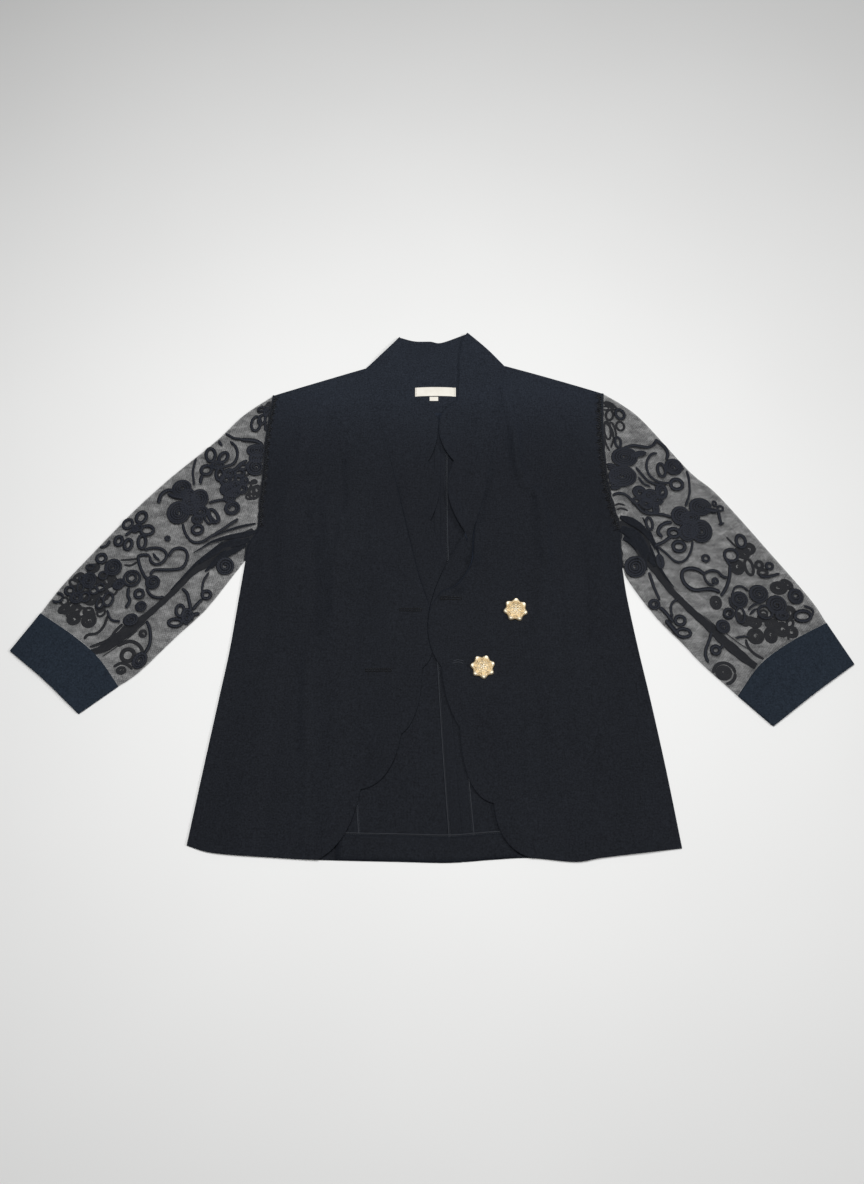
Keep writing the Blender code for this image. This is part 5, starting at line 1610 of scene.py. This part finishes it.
# %% Allowances and overlock
ALLOWANCE_AT_NECK, ALLOWANCE_AT_HEM = 6.8, 11.5
ALLOWANCE_TOP_Y = 226
ALLOWANCE_COLUMNS = 41
WIDENS_FROM_Y, WIDENS_OVER = 100, 400
PANEL_SEAM = [(-80, -248), (-79, -270), (-76, -304)]
HEM_TURN, HEM_INSET = 26.0, 1.0
HEM_CLEAR = 3  # from the allowances' lower end to the hem
HEM_LIES, HEM_WALL = 0.9, 0.35
HEM_THREAD, PANEL_THREAD = 1.15, 0.4  # heights of these threads above the strips' underside
FAINT_FROM_Y = -60  # the right allowance's thread shows only below this
ALLOWANCE_BASE, ALLOWANCE_WALL = 0.28, 0.5
SEAM_GROOVE = 0.42
HEM_FROM_X, HEM_TO_X = -106, 92  # the hem's turning shows between the fronts
PITCH = 2.4
OVERLOCK_MM = 0.6
OVERLOCK_REACH = 2.0


def overlock(line, height):
    """Two threads over a raw edge: a zigzag and the needle line beside it."""
    count = int(length_of(line) / PITCH) * 2
    base = at_shares(line, np.linspace(0, 1, count))
    zigzag = beside(base, np.where(np.arange(count) % 2 == 0, 0.0, -OVERLOCK_REACH))
    needle = beside(base, -OVERLOCK_REACH)
    return [cord_at(part, height, OVERLOCK_MM) for part in (zigzag, needle)]


# %% Strips inside the back
centre = smooth_curve(CENTRE_BACK, 12)
centre = centre[(centre[:, 1] < ALLOWANCE_TOP_Y) & (centre[:, 1] > HEM[5][1] + HEM_CLEAR)]
strip_low = BACK_TOP + 0.05
widening = ease((WIDENS_FROM_Y - centre[:, 1]) / WIDENS_OVER)
reach = ALLOWANCE_AT_NECK + (ALLOWANCE_AT_HEM - ALLOWANCE_AT_NECK) * widening
aside = np.column_stack([reach, np.zeros(len(reach))])
edge = {side: centre + OUTWARD[side] * aside for side in SIDES}
share = np.linspace(-1, 1, ALLOWANCE_COLUMNS)
plan = np.stack([centre + aside * part for part in share], axis=1)
arch = ALLOWANCE_BASE + ALLOWANCE_WALL * (0.6 + 0.4 * np.sin(np.abs(share) * math.pi))
level = strip_low + arch[None] - SEAM_GROOVE * np.exp(-((reach[:, None] * share[None] / 0.5) ** 2))
strips = [thin_shell(plan, level, np.full(plan.shape[:2], strip_low))]
thread_height = strip_low + ALLOWANCE_BASE + ALLOWANCE_WALL
threads = overlock(edge["left"][::-1], thread_height)
threads += overlock(edge["right"][centre[:, 1] < FAINT_FROM_Y], thread_height)
hem = smooth_curve(HEM, 12)
hem = hem[(hem[:, 0] > HEM_FROM_X) & (hem[:, 0] < HEM_TO_X)]
strips.append(seam_strip(hem + (0, HEM_INSET + HEM_TURN / 2), HEM_TURN, strip_low + HEM_LIES, HEM_WALL))
threads += overlock((hem + (0, HEM_INSET + HEM_TURN))[::-1], strip_low + HEM_THREAD)
threads += overlock(smooth_curve(PANEL_SEAM, 8), strip_low + PANEL_THREAD)
make_piece("back_seam_allowances", *combine(strips), SUITING, "suiting")
overlocking = cord_piece("back_overlock_threads", threads, 0.2, OVERLOCK, "suiting", sides=5)
print("overlock", len(overlocking.data.polygons))

# %% [markdown]
# A buttonhole is a slit between two rows of close stitches, with a bar at each end. Each stitch is
# a short cord across the row.

# %% Buttonholes
Hole = namedtuple("Hole", "side x0 y0 x1 y1")
HOLES = [
    Hole("right", -36, -50, -12, -50), Hole("right", -74, -123, -46, -123),
    Hole("left", 12, -36, 35, -36),
]
STITCH_PITCH = 0.9
STITCH_LENGTH = 2.2
STITCH_CORD = 0.84
SLIT = 0.35
BAR_OUT = 0.6  # from the slit's end to the bar
STITCH_LIES, MARK_LIES = 0.08, 0.15  # middle of these threads above the front
MARKS = [[(25, -112), (31, -110.5), (38, -112)], [(24, -114.5), (31, -113), (37, -114.6)]]


def stitched_hole(hole):
    start, end = np.array([hole.x0, hole.y0], float), np.array([hole.x1, hole.y1], float)
    along = (end - start) / np.linalg.norm(end - start)
    out = np.array([-along[1], along[0]])
    lines = []
    for share in np.arange(0, np.linalg.norm(end - start), STITCH_PITCH):
        foot = start + along * share
        for way in (-1, 1):
            lines.append(np.linspace(foot + out * way * SLIT, foot + out * way * STITCH_LENGTH, 4))
    for place in (start - along * BAR_OUT, end + along * BAR_OUT):
        lines.append(np.linspace(place - out * STITCH_LENGTH, place + out * STITCH_LENGTH, 5))
    return [cord_at(line, front_top(line, hole.side) + STITCH_LIES, STITCH_CORD) for line in lines]


stitches = [cord for hole in HOLES for cord in stitched_hole(hole)]
cord_piece("buttonhole_stitches", stitches, 0.3, BUTTONHOLE_SILK, "suiting", sides=5)
marks = [cord_at(line, front_top(line, "left") + MARK_LIES, OVERLOCK_MM)
         for line in (smooth_curve(places, 8) for places in MARKS)]
cord_piece("buttonhole_mark_thread", marks, 0.22, OVERLOCK, "suiting", sides=5)
print("stitches", len(stitches))

# %% [markdown]
# ## Buttons
# A button is a small casting: a dome with seven round tips, a rope rim between them, a wire that
# goes round in seven veined petals, a ring of grains and a flower in the middle. Its height is one
# function of radius and angle, the sum of a dome and bell-shaped ridges, over a flat back.

# %% Buttons
BUTTON_RADIUS = 14.5
TIPS = 7
TIP_DEPTH = 0.2
BUTTON_TURN = {"upper": -4.6, "lower": -21}
BUTTON_LIFT = 0.9  # the face's own zero above the flat back
BUTTON_RELIEF = 0.82
BUTTON_RINGS, BUTTON_SPOKES = 58, 210
BACK_RINGS, BACK_HEIGHTS = (0.985, 0.9, 0.0), (0.35, 0.0, 0.0)  # shares of the radius, millimetres


def ridge(away, width):
    """A bell of height 1: exp(-(away / width) squared)."""
    return np.exp(-((away / width) ** 2))


def casting(radius, angle):
    """Height above the back of the casting, in millimetres, at a share of the radius and an angle."""
    petal = np.cos(TIPS * angle)
    dome = 1.5 + 2.4 * (1 - radius**2)
    knob = 1.2 * ridge(radius - 0.88, 0.09) * ridge(1 - petal, 0.8)
    rope = 0.5 * ridge(radius - (0.87 + 0.035 * petal), 0.035)
    loop = 0.62 + 0.17 * petal
    wire = 0.55 * ridge(radius - loop, 0.05)
    vein = 0.3 * ridge(np.sin(TIPS * angle / 2 + math.pi / 2), 0.16) * ridge(radius - 0.62, 0.16)
    grains = 0.5 * ridge(radius - 0.4, 0.05) * (0.6 + 0.4 * np.cos(2 * TIPS * angle))
    flower = 0.9 * ridge(radius - 0.2, 0.09) * (0.5 + 0.5 * np.cos(5 * angle))
    boss = 1.1 * ridge(radius, 0.09)
    hollow = -0.5 * ridge(radius - 0.75, 0.05) * (0.5 - 0.5 * petal)
    carved = knob + rope + wire + vein + grains + flower + boss + hollow
    return dome + carved, carved


def button_mesh(name, centre, seat, turn):
    """The carved face on a grid of rings and spokes, and three rings that close it behind."""
    share = np.linspace(0, 1, BUTTON_RINGS) ** 0.9
    angle = np.arange(BUTTON_SPOKES) * 2 * math.pi / BUTTON_SPOKES
    reach = BUTTON_RADIUS * (1 - TIP_DEPTH * (0.5 - 0.5 * np.cos(TIPS * angle)))
    faced = angle + math.radians(turn)
    heights, carved = casting(share[:, None], angle[None])
    heights = heights * np.sqrt(np.clip(1 - ((share - 0.94) / 0.06).clip(0, 1) ** 2, 0, 1))[:, None]
    share = np.concatenate([share, BACK_RINGS])
    behind = np.repeat(seat + np.array(BACK_HEIGHTS)[:, None], BUTTON_SPOKES, axis=1)
    z = np.vstack([seat + BUTTON_LIFT + heights * BUTTON_RELIEF, behind])
    x = centre[0] - share[:, None] * reach[None] * np.sin(faced)[None]
    y = centre[1] + share[:, None] * reach[None] * np.cos(faced)[None]
    points = np.dstack([x, y, z]).reshape(-1, 3)
    faces = grid_faces(*z.shape, wrap=True)
    piece = make_piece(name, points, faces, GILT, "button_metal", merge=False)
    mark_raised(piece, np.concatenate([np.clip(carved, 0, 1).ravel(), np.zeros(behind.size)]))
    cleaned(piece.data, outwards=True)
    return piece


for name, centre in BUTTON.items():
    low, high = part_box(f"button_{name}")
    button = button_mesh(f"button_{name}_casting", centre, low.z / MM, BUTTON_TURN[name])
    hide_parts(f"button_{name}")
    print("button", name, "height", round((high.z - low.z) / MM, 2), "faces", len(button.data.polygons))

# %% [markdown]
# ## Neck label and size tab
# The label is a folded satin tape, sewn down at its ends, with a stitched groove near its right
# end. It is left bare, and so is the small tab under it.

# %% Label and tab
LABEL_WIDTH, LABEL_HEIGHT = 52, 14
LABEL_X, LABEL_Y = 5.5, 245
LABEL_LOW = 1.5
LABEL_WALL = 1.0
LABEL_BOW, BOW_REACH = 0.35, 5
GROOVE_INSET, GROOVE_DEPTH, GROOVE_WIDTH = 3.4, 0.5, 0.5
STITCH_INSET = 1.6
STITCH_START, STITCH_STOP, STITCH_STEP = -5.6, 5.0, 2.4  # along the label's height, from its middle
STITCH_PARTS = (0, 0.6, 1.2, 1.8)
LABEL_THREAD_LIES, LABEL_THREAD_MM = 0.1, 0.56
TAPE_DROP, TAPE_UNDERCUT, TAPE_RADIUS = 0.35, 0.3, 0.8
TAB_WIDTH, TAB_HEIGHT, TAB_X = 11, 6, 3.5


def tape(width, height, x, y, arch):
    """A rectangle of tape whose upper edge rises by arch in the middle."""
    left, right = x - width / 2, x + width / 2
    low, high = y - height / 2, y + height / 2
    t = np.linspace(0, 1, 20)
    top = parabola((left, high - arch), (x, high + arch), (right, high - arch), t)
    bottom = parabola((left, low), (x, low + 2 * arch), (right, low), t)
    ends = [np.vstack([top[i], bottom[i]]) for i in (0, -1)]
    plan = patch(top, bottom, ends[0], ends[1], edge_shares(width, 30), edge_shares(height, 8))
    outline = np.vstack([top, bottom[::-1], top[:1]])
    return plan, distance(plan, outline)


def tape_piece(node, plan, rim, level):
    """The tape that replaces a node, with its edges rounded."""
    shell = thin_shell(plan, level - rounded(TAPE_DROP, rim, TAPE_RADIUS),
                       LABEL_LOW + rounded(TAPE_UNDERCUT, rim, TAPE_RADIUS))
    piece = make_piece(f"{node}_tape", *shell, TAPE, "label_tape")
    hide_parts(node)
    return piece


plan, rim = tape(LABEL_WIDTH, LABEL_HEIGHT, LABEL_X, LABEL_Y, 1.0)
bowed = LABEL_BOW * np.cos((plan[..., 0] - LABEL_X) / LABEL_WIDTH * math.pi) * ease(rim / BOW_REACH)
groove_x = LABEL_X + LABEL_WIDTH / 2 - GROOVE_INSET
groove = GROOVE_DEPTH * np.exp(-(((plan[..., 0] - groove_x) / GROOVE_WIDTH) ** 2))
label = tape_piece("neck_label", plan, rim, LABEL_LOW + LABEL_WALL + bowed - groove)
sewn = []
for x in (LABEL_X - LABEL_WIDTH / 2 + STITCH_INSET, groove_x + STITCH_INSET):
    for y in np.arange(LABEL_Y + STITCH_START, LABEL_Y + STITCH_STOP, STITCH_STEP):
        stitch = np.array([[x, y + part] for part in STITCH_PARTS])
        sewn.append(cord_at(stitch, LABEL_LOW + LABEL_WALL + LABEL_THREAD_LIES, LABEL_THREAD_MM))
stitching = cord_piece("neck_label_stitches", sewn, 0.18, LABEL_THREAD, "label_tape", sides=5)

# %% Size tab
tab_y = LABEL_Y - LABEL_HEIGHT / 2 - SEAM_GAP - TAB_HEIGHT / 2
plan, rim = tape(TAB_WIDTH, TAB_HEIGHT, TAB_X, tab_y, 0.0)
tab = tape_piece("size_tab", plan, rim, LABEL_LOW + LABEL_WALL)
print("label and tab", len(label.data.polygons), len(tab.data.polygons))

# %% [markdown]
# ## Floor and light
# The floor is a plain pale surface. A soft lamp hangs over the garment, so the floor darkens towards
# the corners, a far window on the wearer's left gives the folds and edges their dark sides, and an
# even sky fills the rest.

# %% Floor and light
def floor_finish(name):
    material = new_material(name)
    cloud = noise(material, place_on(material), 3.0, Detail=2.0)
    return finish_material(material, {
        "Base Color": blend(material, cloud, "#E9E9E8", "#EFEFEE"), "Roughness": 0.7,
        "Specular IOR Level": 0.2,
    })


FLOOR_HALF = 4.0
FLOOR_LOW = -0.0002
FLOOR_CORNERS = [(-FLOOR_HALF, -FLOOR_HALF), (FLOOR_HALF, -FLOOR_HALF), (FLOOR_HALF, FLOOR_HALF),
                 (-FLOOR_HALF, FLOOR_HALF)]

floor_mesh = bpy.data.meshes.new("floor")
floor_mesh.from_pydata([(x, y, FLOOR_LOW) for x, y in FLOOR_CORNERS], [], [(0, 1, 2, 3)])
floor_mesh.materials.append(floor_finish("floor_pale_matt"))
placed("floor", floor_mesh)


# %% Lamps and sky
def area_light(name, place, target, size, power):
    """A round lamp at a place, turned towards a target."""
    data = bpy.data.lights.new(name, "AREA")
    data.shape = "DISK"
    data.size = size
    data.energy = power
    light = placed(name, data)
    light.location = place
    aim = np.array(target, float) - np.array(place, float)
    light.rotation_euler = (math.atan2(math.hypot(aim[0], aim[1]), -aim[2]), 0,
                            math.atan2(aim[1], aim[0]) - math.pi / 2)


area_light("lamp_overhead", (-0.05, 0.05, 1.38), (-0.05, 0.05, 0), size=0.7, power=16.8)
area_light("window_right", (3.9, -0.6, 3.0), (0, 0, 0), size=1.1, power=78)
world = bpy.data.worlds.new("studio")
bpy.context.scene.world = world
world.use_nodes = True
sky = world.node_tree.nodes["Background"].inputs
sky["Color"].default_value = (0.98, 0.99, 1.0, 1)
sky["Strength"].default_value = 0.1
bpy.context.scene.view_settings.view_transform = "Standard"

# %% Sizes and finish
print("sheets", sheets)
